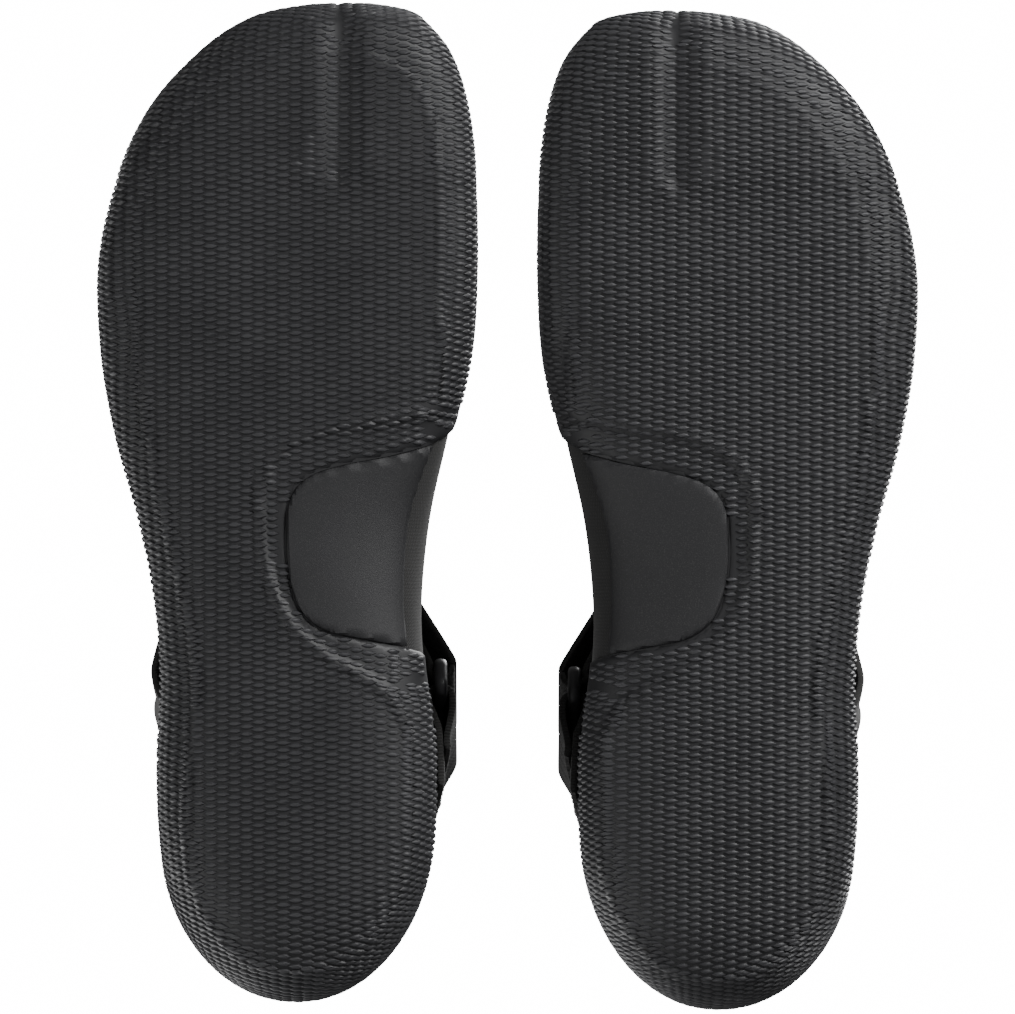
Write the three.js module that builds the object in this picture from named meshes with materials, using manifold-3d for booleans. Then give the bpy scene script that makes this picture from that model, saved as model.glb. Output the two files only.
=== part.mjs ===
// A pair of neoprene surf boots: 3 mm sewn uppers, rubber soles that wrap up the sides, a smooth
// panel under the arch, a toe split inside, and an instep strap that cinches through a plastic ring.
// Millimetres, +Z up. The pair stands on its soles with the toes towards -Y and the right boot at -X.
import * as THREE from 'three';
import { mergeVertices } from 'three/addons/utils/BufferGeometryUtils.js';
import Module from 'manifold-3d';

const wasm = await Module();
wasm.setup();

// ---- Driving sizes ----
const bootLength = 284; // over the rubber, heel to toe
const ballWidth = 108; // over the rubber, at the widest part of the forefoot
const bootHeight = 196; // floor to the top of the cuff binding
const bootsApart = 17.1; // between the two soles, at the balls
const pairStagger = 2.2; // the left boot stands this much further back

const neoprene = 3; // wall of the upper
const gap = 0.3; // glue line or running gap between two pieces
const boardThick = 1.2; // stiffening board under the foot
const soleRubber = 1.7; // under the foot
const wallRubber = 1.5; // up the sides
const insoleThick = 3;
const seamZ = 8.4; // height of the seam round the bottom panel, hidden behind the rubber
const tapeThick = 0.5;
const tapeWidth = 11;
const dividerThick = 2;
const dividerLength = 52; // back from the toe tip
const dividerOffset = 12; // towards the big toe from the heel centre line

const bindingThick = 0.9;
const bindingDepth = 11;
const backTapeWidth = 22;
const backTapeThick = 1.2;
const backTapeFoot = 56; // height where the back tape starts

const strapWidth = 30; // instep strap webbing
const strapThick = 1.8;
const strapTilt = 38; // degrees, rising from the ankle to the instep
const strapCentre = { u: 82, z: 75 }; // the middle of the ring, seen from the side
const strapLoose = 6.5; // that the strap stands off the outer ankle
const clothGap = 0.5; // between cloth layers that lie on each other
const patchThick = 0.9;
const patchMargin = 4; // that the sewn patches show round the strap
const pileThick = 1.1;
const hookThick = 1;
const pileReach = [-12, 50]; // along the strap, from the ridge towards the inner ankle
const tailEnd = 6; // the same, where the tail ends
const hookLength = 24;
const strapFoot = -92; // the same, where the strap is sewn on behind the outer ankle
const ringBar = 3.9;
const ringAcross = 13; // outside size along the strap
const ringRound = 1.25; // rounding of the bars
const ringStandOff = 40.8; // from the heel centre line to the ring's middle plane
const tabFoot = -37; // ends of the ring's tab behind the ring: the leg on the boot and the outer leg
const tabEnd = -24.4;
const tabThick = 2;
const tabPatchThick = 2;

const loopWidth = 20; // pull loop webbing
const loopThick = 1.8;
const loopRise = 15; // above the cuff
const soleFlat = 0.5; // worn off the curve of the sole so that it stands flat

// ---- The last: girth rows from the toe tip round the heel to the cuff, at the sample size ----
// u runs forward from the back of the heel, w towards the big toe side, z up. A row gives the
// points where it crosses the keel, the two sides and the ridge, and how square its corners are.
const sampleLength = 284.2;
const sampleWidth = 108;
const sampleHeight = 196;
const instepZ = 80; // the height grade stretches what is above this
const row = (keel, medial, lateral, ridge, square) => [...keel, ...medial, ...lateral, ...ridge, ...square];
const toeTip = [282.4, 14, 17];
const last = [
  row(toeTip, toeTip, toeTip, toeTip, [2.2, 2.2, 2.2]),
  row([280.6, 14, 10.8], [280.6, 30, 17], [280.6, -4, 17], [280.6, 14, 23], [2.2, 2.2, 2.2]),
  row([276.5, 13, 7.2], [276.5, 36.2, 17], [276.5, -15.5, 17], [276.5, 13, 27], [2.5, 2.5, 2.2]),
  row([268, 11, 5], [268, 42.6, 17], [268, -27, 16.5], [268, 12, 30], [2.8, 2.8, 2.2]),
  row([254, 8, 4], [254, 47, 16.5], [254, -39.5, 16], [254, 11, 33], [3, 3, 2.2]),
  row([236, 5, 3.5], [236, 49, 16], [236, -48.3, 15], [236, 10, 37.5], [3.2, 3.2, 2.2]),
  row([212, 3, 3.5], [212, 49.7, 16], [212, -54.2, 14.5], [212, 9, 45], [3.2, 3.2, 2.1]),
  row([186, 1, 3.5], [186, 48.3, 18], [186, -53.8, 15], [186, 8, 55], [2.9, 3.1, 2.1]),
  row([162, -1, 3.5], [162, 43.3, 22], [162, -49.8, 16], [163, 6, 66.5], [2.4, 3, 2.1]),
  row([138, -2, 3.6], [138, 38, 26], [138, -43.3, 17], [146, 3.5, 77.5], [2.1, 2.8, 2.15]),
  row([114, -1, 3.5], [114, 35.6, 25], [114, -38.6, 18], [136, 1, 86.5], [2.2, 2.7, 2.2]),
  row([90, 0, 3.5], [93, 36.2, 22], [93, -37, 19], [130, 0, 94.5], [2.5, 2.7, 2.25]),
  row([66, 0, 3.5], [73, 38.2, 22], [73, -37.9, 21], [126.2, 0, 102], [2.7, 2.8, 2.25]),
  row([42, 0, 3.8], [58, 38, 24], [58, -37.8, 23.5], [123.8, 0, 109.5], [2.7, 2.7, 2.25]),
  row([21, 0, 5.2], [50, 37.6, 27.5], [50, -37.2, 27.5], [122, 0, 117], [2.4, 2.4, 2.25]),
  row([7, 0, 12], [46.5, 36.6, 34], [47, -37, 34], [120.8, 0, 124.5], [2.15, 2.15, 2.2]),
  row([1.8, 0, 26], [47, 35.4, 44], [48.5, -37, 44], [120, 0, 132], [2.05, 2.05, 2.2]),
  row([4.5, 0, 45], [50, 34.2, 58], [51.5, -37, 58], [119.6, 0, 140], [2, 2, 2.2]),
  row([10.5, 0, 67], [54.5, 34, 77], [55.5, -37, 77], [119.4, 0, 149], [2, 2, 2.1]),
  row([15, 0, 92], [59.5, 34.4, 100], [59.5, -36.8, 100], [119.5, 0, 159], [2, 2, 2]),
  row([17, 0, 121], [63, 36.4, 128], [63, -37.2, 128], [120, 0, 170], [2, 2, 2]),
  row([16.4, 0, 156], [66.5, 38.6, 161], [66.5, -38.4, 161], [121, 0, 182], [2, 2, 2]),
  row([14.5, 0, 195], [68.5, 40.5, 195], [68.5, -39.8, 195], [122.5, 0, 195], [2, 2, 2]),
];
const lengthGrade = bootLength / sampleLength;
const widthGrade = ballWidth / sampleWidth;
const heightGrade = (bootHeight - instepZ) / (sampleHeight - instepZ);
const gradeU = (u) => u * lengthGrade;
const gradeW = (w) => w * widthGrade;
const gradeZ = (z) => (z < instepZ ? z : instepZ + (z - instepZ) * heightGrade);

// Catmull-Rom between rows. Past the toe tip the rows are mirrored through it, so the tip is round.
function rowAt(t) {
  const i = Math.min(Math.floor(t), last.length - 2);
  const f = t - i;
  const after = (k) => (k < last.length ? last[k] : last[k - 1].map((v, n) => 2 * v - last[k - 2][n]));
  const before = i > 0 ? last[i - 1] : last[1].map((v, n) => (n < 12 && n % 3 > 0 ? 2 * last[0][n] - v : v));
  return last[i].map((b, n) => {
    const a = before[n];
    const c = last[i + 1][n];
    const d = after(i + 2)[n];
    return b + 0.5 * f * (c - a + f * (2 * a - 5 * b + 4 * c - d + f * (3 * (b - c) + d - a)));
  });
}

// One girth as n points, evenly spaced within each quarter: keel, medial side, ridge, lateral side.
function girth(t, n) {
  const r = rowAt(t);
  const point = (k) => new THREE.Vector3(gradeW(r[k + 1]), -gradeU(r[k]), gradeZ(r[k + 2]));
  const [keel, medial, lateral, ridge] = [0, 3, 6, 9].map(point);
  const [squareMedial, squareLateral, squareCrown] = r.slice(12);
  const quarter = (from, to, side, square, backwards) => {
    const fine = 60;
    const end = backwards ? to : from;
    const centre = new THREE.Vector3(end.x, side.y, side.z);
    const dense = Array.from({ length: fine + 1 }, (_, k) => {
      const a = ((backwards ? fine - k : k) / fine) * (Math.PI / 2);
      return centre.clone()
        .addScaledVector(end.clone().sub(centre), Math.max(0, Math.cos(a)) ** (2 / square))
        .addScaledVector(side.clone().sub(centre), Math.sin(a) ** (2 / square));
    });
    const along = [0];
    for (let k = 1; k <= fine; k++) along.push(along[k - 1] + dense[k].distanceTo(dense[k - 1]));
    let k = 0;
    return Array.from({ length: n / 4 }, (_, j) => {
      const at = (along[fine] * j * 4) / n;
      while (k < fine - 1 && along[k + 1] < at) k++;
      return dense[k].clone().lerp(dense[k + 1], (at - along[k]) / Math.max(along[k + 1] - along[k], 1e-9));
    });
  };
  return [
    ...quarter(keel, medial, medial, squareMedial, false),
    ...quarter(medial, ridge, medial, squareCrown, true),
    ...quarter(ridge, lateral, lateral, squareCrown, false),
    ...quarter(lateral, keel, lateral, squareLateral, true),
  ];
}

// ---- Solids ----
const steps = 18; // along the last
const around = 20;
const rows = Array.from({ length: steps + 1 }, (_, i) => girth((i * (last.length - 1)) / steps, around));
const normals = rows.map((ring, i) => ring.map((p, j) => {
  if (i === 0) return new THREE.Vector3(0, -1, 0);
  const along = rows[Math.min(i + 1, steps)][j].clone().sub(rows[i - 1][j]);
  const across = ring[(j + 1) % around].clone().sub(ring[(j + around - 1) % around]);
  return along.cross(across).normalize();
}));

function solidOf(geometry) {
  const bare = new THREE.BufferGeometry().setAttribute('position', geometry.getAttribute('position'));
  if (geometry.index) bare.setIndex(geometry.index);
  const merged = mergeVertices(bare.index ? bare.toNonIndexed() : bare, 1e-4);
  return new wasm.Manifold(new wasm.Mesh({
    numProp: 3,
    vertProperties: new Float32Array(merged.attributes.position.array),
    triVerts: new Uint32Array(merged.index.array),
  }));
}

// The last as a closed solid, its surface moved outwards by a distance or by offset(point, normal).
// Its top runs straight up past the cuff, so that what is cut with it is open there.
const overTop = 6;
function form(offset) {
  const by = typeof offset === 'function' ? offset : () => offset;
  const rings = rows.map((ring, i) => ring.map((p, j) => {
    const n = normals[i][j];
    return p.clone().addScaledVector(n, by(p, n));
  }));
  rings.push(rings[steps].map((p) => p.clone().setZ(p.z + overTop)));
  const corners = [];
  const face = (...points) => points.forEach((p) => corners.push(p.x, p.y, p.z));
  const tip = rings[0][0];
  const lid = rings[rings.length - 1];
  const middle = lid.reduce((sum, p) => sum.add(p), new THREE.Vector3()).divideScalar(around);
  for (let j = 0; j < around; j++) {
    const k = (j + 1) % around;
    face(tip, rings[1][j], rings[1][k]);
    for (let i = 1; i < rings.length - 1; i++) {
      face(rings[i][j], rings[i + 1][j], rings[i + 1][k]);
      face(rings[i][j], rings[i + 1][k], rings[i][k]);
    }
    face(lid[j], middle, lid[k]);
  }
  const geometry = new THREE.BufferGeometry();
  geometry.setAttribute('position', new THREE.Float32BufferAttribute(corners, 3));
  return solidOf(geometry);
}

function box(x0, x1, y0, y1, z0, z1) {
  const geometry = new THREE.BoxGeometry(x1 - x0, y1 - y0, z1 - z0);
  return solidOf(geometry.translate((x0 + x1) / 2, (y0 + y1) / 2, (z0 + z1) / 2));
}

// A prism on a closed outline: seen from the side (u, z), from below (u, w), or along the strap (p, w).
const reach = 400;
const curvePoints = (points, closed, count) =>
  new THREE.SplineCurve(points.map(([a, b]) => new THREE.Vector2(a, b))).getPoints(count ?? points.length + 1);
function extrude(points, basis, from, to) {
  const shape = new THREE.Shape(points);
  const geometry = new THREE.ExtrudeGeometry(shape, { depth: to - from, bevelEnabled: false, curveSegments: 8 });
  return solidOf(geometry.translate(0, 0, from).applyMatrix4(basis));
}
const sideBasis = new THREE.Matrix4().makeBasis(
  new THREE.Vector3(0, 1, 0), new THREE.Vector3(0, 0, 1), new THREE.Vector3(1, 0, 0));
const sidePrism = (points, from = -reach, to = reach) =>
  extrude(points.map(([u, z]) => new THREE.Vector2(-gradeU(u), gradeZ(z))), sideBasis, from, to);
const soleBasis = new THREE.Matrix4();
const solePrism = (points, from, to) =>
  extrude(points.map(([u, w]) => new THREE.Vector2(gradeW(w), -gradeU(u))), soleBasis, from, to);

// A thin wall along an open curve, seen from the side.
function blade(points, width, from = -reach, to = reach) {
  const line = curvePoints(points.map(([u, z]) => [-gradeU(u), gradeZ(z)]));
  const side = (sign) => line.map((p, k) => {
    const t = line[Math.min(k + 1, line.length - 1)].clone().sub(line[Math.max(k - 1, 0)]).normalize();
    return new THREE.Vector2(p.x - (sign * t.y * width) / 2, p.y + (sign * t.x * width) / 2);
  });
  return extrude([...side(1), ...side(-1).reverse()], sideBasis, from, to);
}

function join(...solids) {
  return solids.reduce((sum, s) => sum.add(s));
}

// The biggest body of a solid, without the slivers that a cut can leave.
function largest(solid) {
  return solid.decompose().reduce((best, s) => (s.volume() > best.volume() ? s : best));
}

// ---- The sewn upper ----
const cuffTop = gradeZ(sampleHeight) - bindingThick - gap;
const shell = (inner, outer, z0 = -reach, z1 = cuffTop) =>
  form(outer).subtract(form(inner)).intersect(box(-reach, reach, -reach, reach, z0, z1));
const sock = shell(-neoprene, 0);

// Seams, seen from the side.
const vampSeam = [[194, -5], [181, 18], [166, 42], [150, 66], [138, 92], [132, 112]];
const gussetSeam = [[172, 34], [140, 60], [116, 84], [101, 112], [95, 140], [92, 168]];
const cuffSeam = [[-20, 149], [40, 149], [90, 153], [150, 160]];
const upperAbove = box(-reach, reach, -reach, reach, seamZ + gap, cuffTop);
const sockUpper = sock.intersect(upperAbove);
const sockBottom = sock.subtract(box(-reach, reach, -reach, reach, seamZ, reach));
const inFront = (seam, past) => sidePrism([
  ...curvePoints(seam).map((p) => [p.x, p.y]), [past, seam[seam.length - 1][1]], [past, seam[0][1]]]);
const frontOfVampSeam = inFront(vampSeam, 400);
const frontOfGusset = inFront(gussetSeam, 400);
const aboveCuffSeam = sidePrism([...curvePoints(cuffSeam).map((p) => [p.x, p.y]), [150, 300], [-20, 300]]);
const seamCut = (solid, ...blades) => blades.reduce((s, b) => s.subtract(b), solid);
const vampBlade = blade(vampSeam, gap);
const gussetBlade = blade(gussetSeam, gap);
const cuffBlade = blade(cuffSeam, gap);
const backBlade = box(-gap / 2, gap / 2, -gradeU(90), reach, 0, reach);

const vamp = largest(seamCut(sockUpper.intersect(frontOfVampSeam), vampBlade));
const behindVamp = seamCut(sockUpper.subtract(frontOfVampSeam), vampBlade);
const cuff = largest(seamCut(behindVamp.intersect(aboveCuffSeam), cuffBlade));
const belowCuff = seamCut(behindVamp.subtract(aboveCuffSeam), cuffBlade);
const gusset = largest(seamCut(belowCuff.intersect(frontOfGusset), gussetBlade));
const quarters = seamCut(belowCuff.subtract(frontOfGusset), gussetBlade, backBlade);
const medialQuarter = largest(quarters.intersect(box(0, reach, -reach, reach, 0, reach)));
const lateralQuarter = largest(quarters.intersect(box(-reach, 0, -reach, reach, 0, reach)));

const seamTape = largest(
  shell(-neoprene - gap - tapeThick, -neoprene - gap, seamZ + insoleThick, cuffTop)
    .intersect(blade(vampSeam, tapeWidth)));
const cuffBinding = largest(
  shell(-neoprene - gap - bindingThick, gap + bindingThick, cuffTop - bindingDepth, cuffTop + gap + bindingThick)
    .subtract(shell(-neoprene - gap, gap, 0, cuffTop + gap)));

// ---- Inside the boot ----
const insoleTop = 3.5 + neoprene + gap + insoleThick;
const cavity = form(-neoprene - gap);
const insole = largest(cavity.intersect(box(-reach, reach, -reach, reach, 0, insoleTop)));
const dividerX = gradeW(dividerOffset);
const toeDivider = largest(form(-neoprene - gap).intersect(box(
  dividerX - dividerThick / 2, dividerX + dividerThick / 2, -reach, -bootLength + dividerLength,
  insoleTop + gap, reach)));

// ---- The sole ----
// Under the foot the rubber clears the board; up the sides it lies on the upper.
const under = (n) => THREE.MathUtils.smoothstep(-n.z, 0.55, 0.9);
const rubberInside = (p, n) => gap + (boardThick + gap) * under(n);
const rubberOutside = (p, n) =>
  gap + wallRubber + (boardThick + gap + soleRubber + soleFlat - wallRubber) * under(n);
const lateralEdge = [[-6, 50], [12, 44], [34, 32], [60, 24], [95, 20], [135, 19], [175, 21], [215, 24],
  [242, 27], [256, 32], [262, 45]];
const medialEdge = [[-6, 50], [12, 44], [34, 31], [60, 22], [95, 18], [135, 18], [175, 22], [215, 25],
  [242, 28], [256, 32], [262, 45]];
const belowEdge = (edge, from, to) => sidePrism(
  [...curvePoints(edge).map((p) => [p.x, p.y]), [300, 60], [300, -10], [-6, -10]], from, to);
const rubberZone = join(belowEdge(medialEdge, 0, reach), belowEdge(lateralEdge, -reach, 0.01));
// The opening under the arch, seen from below, and the wider one in the board.
const archOutline = (grow) => [
  [174 + grow, 60], [171 + grow, 47.5], [165 + grow, 44.6], [160.5 + grow, 41], [156 + grow, 28], [152.5 + grow, 12], [149 + grow, 3 - grow],
  [143, -1.6 - grow], [133, -2.6 - grow], [121, -1.8 - grow], [111.5 - grow, 1.5 - grow],
  [106 - grow, 8], [103.5 - grow, 18], [101 - grow, 30], [98 - grow, 42], [97.5 - grow, 60]];
const archPrism = (grow, z0 = -5, z1 = 40) =>
  solePrism(curvePoints(archOutline(grow), false, 16).map((p) => [p.x, p.y]), z0, z1);
const aboveFloor = box(-reach, reach, -reach, reach, 0, reach);
const archRecess = 0.4;
const archPanel = largest(form((p, n) => rubberOutside(p, n) - archRecess).subtract(form(rubberInside))
  .intersect(belowEdge([[80, 10], [103, 11.4], [132, 12.8], [159, 12.4], [180, 12]], 0, reach)
    .add(belowEdge(lateralEdge, -20, 0.01)))
  .intersect(archPrism(0)).intersect(box(-reach, reach, -reach, reach, archRecess, reach)));
const boardOutline = [
  [172, 60], [168, 38], [165.5, 24], [162.5, 8], [157, -3], [150, -8.2], [141, -9.6], [130, -9], [119, -6.4],
  [108, -1], [99.5, 8], [93, 19], [85, 28], [72, 33], [58, 34.4], [43, 33], [29, 28.6], [17, 20], [11, 8],
  [10, -4], [14, -16], [27, -26], [43, -30.4], [60, -30.4], [80, -28.4], [92, -28], [106, -29.6],
  [126, -34], [150, -39.5], [180, -43.5], [212, -43], [240, -34], [258, -20], [268, -2], [270, 14],
  [264, 30], [250, 38], [220, 41], [192, 41], [180, 60]];
const boardNotch = 46; // the last point before the board's own edge at the ball
const boardShape = curvePoints(boardOutline, true, boardNotch).map((p) => [p.x, Math.min(p.y, 41.5)]);
const board = largest(form(gap + boardThick).subtract(form(gap))
  .intersect(solePrism(boardShape, -5, 12)));
const boardRoom = form(gap + boardThick + gap).intersect(solePrism(boardShape.map((q, k) => {
  const [before, after] = [boardShape.at(k - 1), boardShape[(k + 1) % boardShape.length]];
  const side = new THREE.Vector2(after[1] - before[1], before[0] - after[0]).normalize();
  return [q[0] + 3 * gap * side.x, q[1] + 3 * gap * side.y];
}), -5, 13));

const outsole = largest(form(rubberOutside).subtract(form(rubberInside))
  .intersect(rubberZone).intersect(aboveFloor).subtract(archPrism(gap)).subtract(boardRoom).subtract(board));

// ---- The instep strap ----
// Its own frame: p runs forward and up along the strap, w outwards, b across it, back and up.
const tilt = THREE.MathUtils.degToRad(strapTilt);
const alongStrap = new THREE.Vector3(0, -Math.cos(tilt), Math.sin(tilt));
const acrossStrap = new THREE.Vector3(0, Math.sin(tilt), Math.cos(tilt));
const strapOrigin = new THREE.Vector3(0, -gradeU(strapCentre.u), gradeZ(strapCentre.z));
const fromStrap = (p, w, b) => strapOrigin.clone().addScaledVector(alongStrap, p)
  .addScaledVector(acrossStrap, b).setX(w);

// The section of the boot's surface at one b, from behind the inner ankle over the ridge to behind
// the outer ankle: where each lengthwise line of the surface crosses that plane.
function sectionAt(b) {
  const points = [];
  for (let j = 3; j <= around - 3; j++) {
    const height = (i) => rows[i][j].clone().sub(strapOrigin).dot(acrossStrap) - b;
    let i = 1;
    while (i < steps - 1 && height(i + 1) < 0) i++;
    const f = height(i) / (height(i) - height(i + 1));
    const at = rows[i][j].clone().lerp(rows[i + 1][j], f).sub(strapOrigin);
    points.push(new THREE.Vector2(at.dot(alongStrap), at.x));
  }
  return points;
}
const middle = around / 2 - 3; // the ridge's place in a section
const bandSteps = 2;
const sections = (width) => Array.from({ length: bandSteps + 1 }, (_, k) => {
  const b = (k / bandSteps - 0.5) * width;
  const points = sectionAt(b);
  const at = [0];
  for (let m = 1; m < points.length; m++) at.push(at[m - 1] + points[m].distanceTo(points[m - 1]));
  return { b, points, at: at.map((v) => at[middle] - v) };
});

// The side of a polyline at each of its points, to the left of the way it runs.
const leftOf = (line, m) => {
  const t = line[Math.min(m + 1, line.length - 1)].clone().sub(line[Math.max(m - 1, 0)]).normalize();
  return new THREE.Vector2(-t.y, t.x);
};
// A run on the boot at a distance off its surface, from one arc length from the ridge to another;
// towards the inner ankle is positive, and distance may depend on the arc length. It turns only
// where the section does.
const edgeSide = (points, m) => {
  const t = points[m + 1].clone().sub(points[m]).normalize();
  return new THREE.Vector2(-t.y, t.x);
};
function run(section, from, to, off, count) {
  const { points, at } = section;
  const clear = typeof off === 'function' ? off : () => off;
  const step = Math.abs(to - from) / count;
  return Array.from({ length: count + 1 }, (_, k) => {
    const s = from + ((to - from) * k) / count;
    let m = 0;
    while (m < at.length - 2 && at[m + 1] > s) m++;
    const corner = at[m] - s < s - at[m + 1] ? m : m + 1;
    const inside = corner > 0 && corner < at.length - 1 && k > 0 && k < count;
    if (inside && Math.abs(at[corner] - s) <= step / 2) {
      const [n1, n2] = [edgeSide(points, corner - 1), edgeSide(points, corner)];
      return points[corner].clone().addScaledVector(n1.add(n2), clear(at[corner]) / (1 + edgeSide(points, corner - 1).dot(n2)));
    }
    const f = (at[m] - s) / (at[m] - at[m + 1]);
    return points[m].clone().lerp(points[m + 1], f).addScaledVector(edgeSide(points, m), clear(s));
  });
}
// Arc length at which a section passes a given p on the inner side of the boot.
function arcAt(section, p) {
  let m = middle;
  while (m > 1 && section.points[m - 1].x > p) m--;
  const f = (section.points[m].x - p) / (section.points[m].x - section.points[m - 1].x);
  return section.at[m] + (section.at[m - 1] - section.at[m]) * f;
}

// A band of cloth: one centre line in (p, w) for each b, thickened to both sides.
function band(width, thick, centreLine) {
  const lines = sections(width).map((section) => ({ b: section.b, line: centreLine(section) }));
  const layers = [-thick / 2, thick / 2].map((half) => lines.map(({ b, line }) => line.map((q, m) => {
    const at = q.clone().addScaledVector(leftOf(line, m), half);
    return fromStrap(at.x, at.y, b);
  })));
  const corners = [];
  const quad = (a, b, c, d) => [a, b, c, a, c, d].forEach((v) => corners.push(v.x, v.y, v.z));
  const [low, high] = layers;
  const ends = low[0].length - 1;
  for (let k = 0; k < bandSteps; k++) {
    for (let m = 0; m < ends; m++) {
      quad(low[k][m], low[k + 1][m], low[k + 1][m + 1], low[k][m + 1]);
      quad(high[k][m], high[k][m + 1], high[k + 1][m + 1], high[k + 1][m]);
    }
    quad(low[k][0], high[k][0], high[k + 1][0], low[k + 1][0]);
    quad(low[k][ends], low[k + 1][ends], high[k + 1][ends], high[k][ends]);
  }
  for (let m = 0; m < ends; m++) {
    quad(low[0][m], low[0][m + 1], high[0][m + 1], high[0][m]);
    quad(low[bandSteps][m], high[bandSteps][m], high[bandSteps][m + 1], low[bandSteps][m + 1]);
  }
  const geometry = new THREE.BufferGeometry();
  geometry.setAttribute('position', new THREE.Float32BufferAttribute(corners, 3));
  const solid = solidOf(geometry);
  if (solid.volume() > 0) return solid;
  const turned = [];
  for (let k = 0; k < corners.length; k += 9) {
    turned.push(...corners.slice(k, k + 3), ...corners.slice(k + 6, k + 9), ...corners.slice(k + 3, k + 6));
  }
  geometry.setAttribute('position', new THREE.Float32BufferAttribute(turned, 3));
  return solidOf(geometry);
}

const ringW = gradeW(ringStandOff);
const barAt = (ringAcross - ringBar) / 2;
const turnRadius = ringBar / 2 + 0.45 + strapThick / 2;
// Points round a bar of the ring, from one angle to another, in degrees.
const aroundBar = (p, radius, from, to, count) => Array.from({ length: count + 1 }, (_, k) => {
  const a = THREE.MathUtils.degToRad(from + ((to - from) * k) / count);
  return new THREE.Vector2(p + radius * Math.cos(a), ringW + radius * Math.sin(a));
});
const smooth = (points, count) => new THREE.SplineCurve(points).getPoints(count);

const onBoot = clothGap + strapThick / 2;
const strapOff = (s) => onBoot
  + (patchThick + gap) * (1 - THREE.MathUtils.smoothstep(s, -84, -76))
  + strapLoose * THREE.MathUtils.smoothstep(s, -84, -64) * (1 - THREE.MathUtils.smoothstep(s, -54, -20));
const leaveP = 24; // where the strap leaves the boot for the ring
const strapLine = (section) => [
  ...run(section, strapFoot, arcAt(section, leaveP), strapOff, 20),
  ...smooth([
    ...run(section, arcAt(section, leaveP), arcAt(section, leaveP - 3), onBoot, 1),
    new THREE.Vector2(barAt + 3, ringW - turnRadius - 0.1),
    new THREE.Vector2(barAt, ringW - turnRadius),
  ], 9).slice(1, -1),
  ...aroundBar(barAt, turnRadius, -90, -270, 7),
  new THREE.Vector2(barAt + 1.2, ringW + turnRadius),
];
const strapPatchLine = (section) =>
  run(section, strapFoot - patchMargin, -78, clothGap + patchThick / 2, 5);
const pileOff = onBoot + strapThick / 2 + gap + pileThick / 2;
const pileLine = (section) => run(section, pileReach[0], pileReach[1], pileOff, 10);
const tailOff = pileOff + pileThick / 2 + gap + hookThick + gap + strapThick / 2;
const tailHinge = barAt + 1.2 + gap; // p of the fold where the tail starts
const tailLine = (section) => [
  ...smooth([
    new THREE.Vector2(tailHinge, ringW + turnRadius),
    new THREE.Vector2(tailHinge + 3, ringW + turnRadius - 0.3),
    ...run(section, arcAt(section, 25), arcAt(section, 27), tailOff, 1),
  ], 9).slice(0, -2),
  ...run(section, arcAt(section, 28), tailEnd, tailOff, 10),
];
const hookOff = tailOff - strapThick / 2 - gap - hookThick / 2;
const hookLine = (section) => run(section, tailEnd + 2 + hookLength, tailEnd + 2, hookOff, 6);
// What lies on a band starts a gap off it.
const roomFor = (width, thick, line) => band(width + 0.1, thick + 2 * gap, line);
const patchWidth = strapWidth + 2 * patchMargin;
const pileWidth = strapWidth - 2;
const hookWidth = strapWidth - 4;
const offBoot = (solid) => solid.subtract(form(gap));
const ankleStrap = largest(offBoot(band(strapWidth, strapThick, strapLine))
  .subtract(roomFor(patchWidth, patchThick, strapPatchLine)));
const strapPatch = largest(offBoot(band(patchWidth, patchThick, strapPatchLine)));
const strapPile = largest(band(pileWidth, pileThick, pileLine).subtract(roomFor(strapWidth, strapThick, strapLine)));
const strapHook = largest(band(hookWidth, hookThick, hookLine)
  .subtract(roomFor(pileWidth, pileThick, pileLine)));
const strapTail = largest(band(strapWidth, strapThick, tailLine).subtract(strapHook)
  .subtract(roomFor(hookWidth, hookThick, hookLine))
  .subtract(roomFor(pileWidth, pileThick, pileLine)).subtract(roomFor(strapWidth, strapThick, strapLine)));

function ringSolid() {
  const outline = (p, b, r, Kind) => {
    const path = new Kind();
    path.moveTo(-p + r, -b);
    path.lineTo(p - r, -b);
    path.absarc(p - r, -b + r, r, -Math.PI / 2, 0, false);
    path.lineTo(p, b - r);
    path.absarc(p - r, b - r, r, 0, Math.PI / 2, false);
    path.lineTo(-p + r, b);
    path.absarc(-p + r, b - r, r, Math.PI / 2, Math.PI, false);
    path.lineTo(-p, -b + r);
    path.absarc(-p + r, -b + r, r, Math.PI, 1.5 * Math.PI, false);
    return path;
  };
  const halfP = ringAcross / 2;
  const windowB = strapWidth / 2 + 0.5;
  const shape = outline(halfP - ringRound, windowB + ringBar - ringRound, 1.6, THREE.Shape);
  shape.holes.push(outline(halfP - ringBar + ringRound, windowB + ringRound, 1.4, THREE.Path));
  const geometry = new THREE.ExtrudeGeometry(shape, {
    depth: ringBar - 2 * ringRound, bevelThickness: ringRound, bevelSize: ringRound, bevelSegments: 1,
    curveSegments: 2,
  });
  geometry.translate(0, 0, ringRound - ringBar / 2);
  const basis = new THREE.Matrix4().makeBasis(alongStrap, acrossStrap, alongStrap.clone().cross(acrossStrap));
  basis.setPosition(fromStrap(0, ringW, 0));
  return solidOf(geometry.applyMatrix4(basis));
}
const strapRing = ringSolid();

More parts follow.
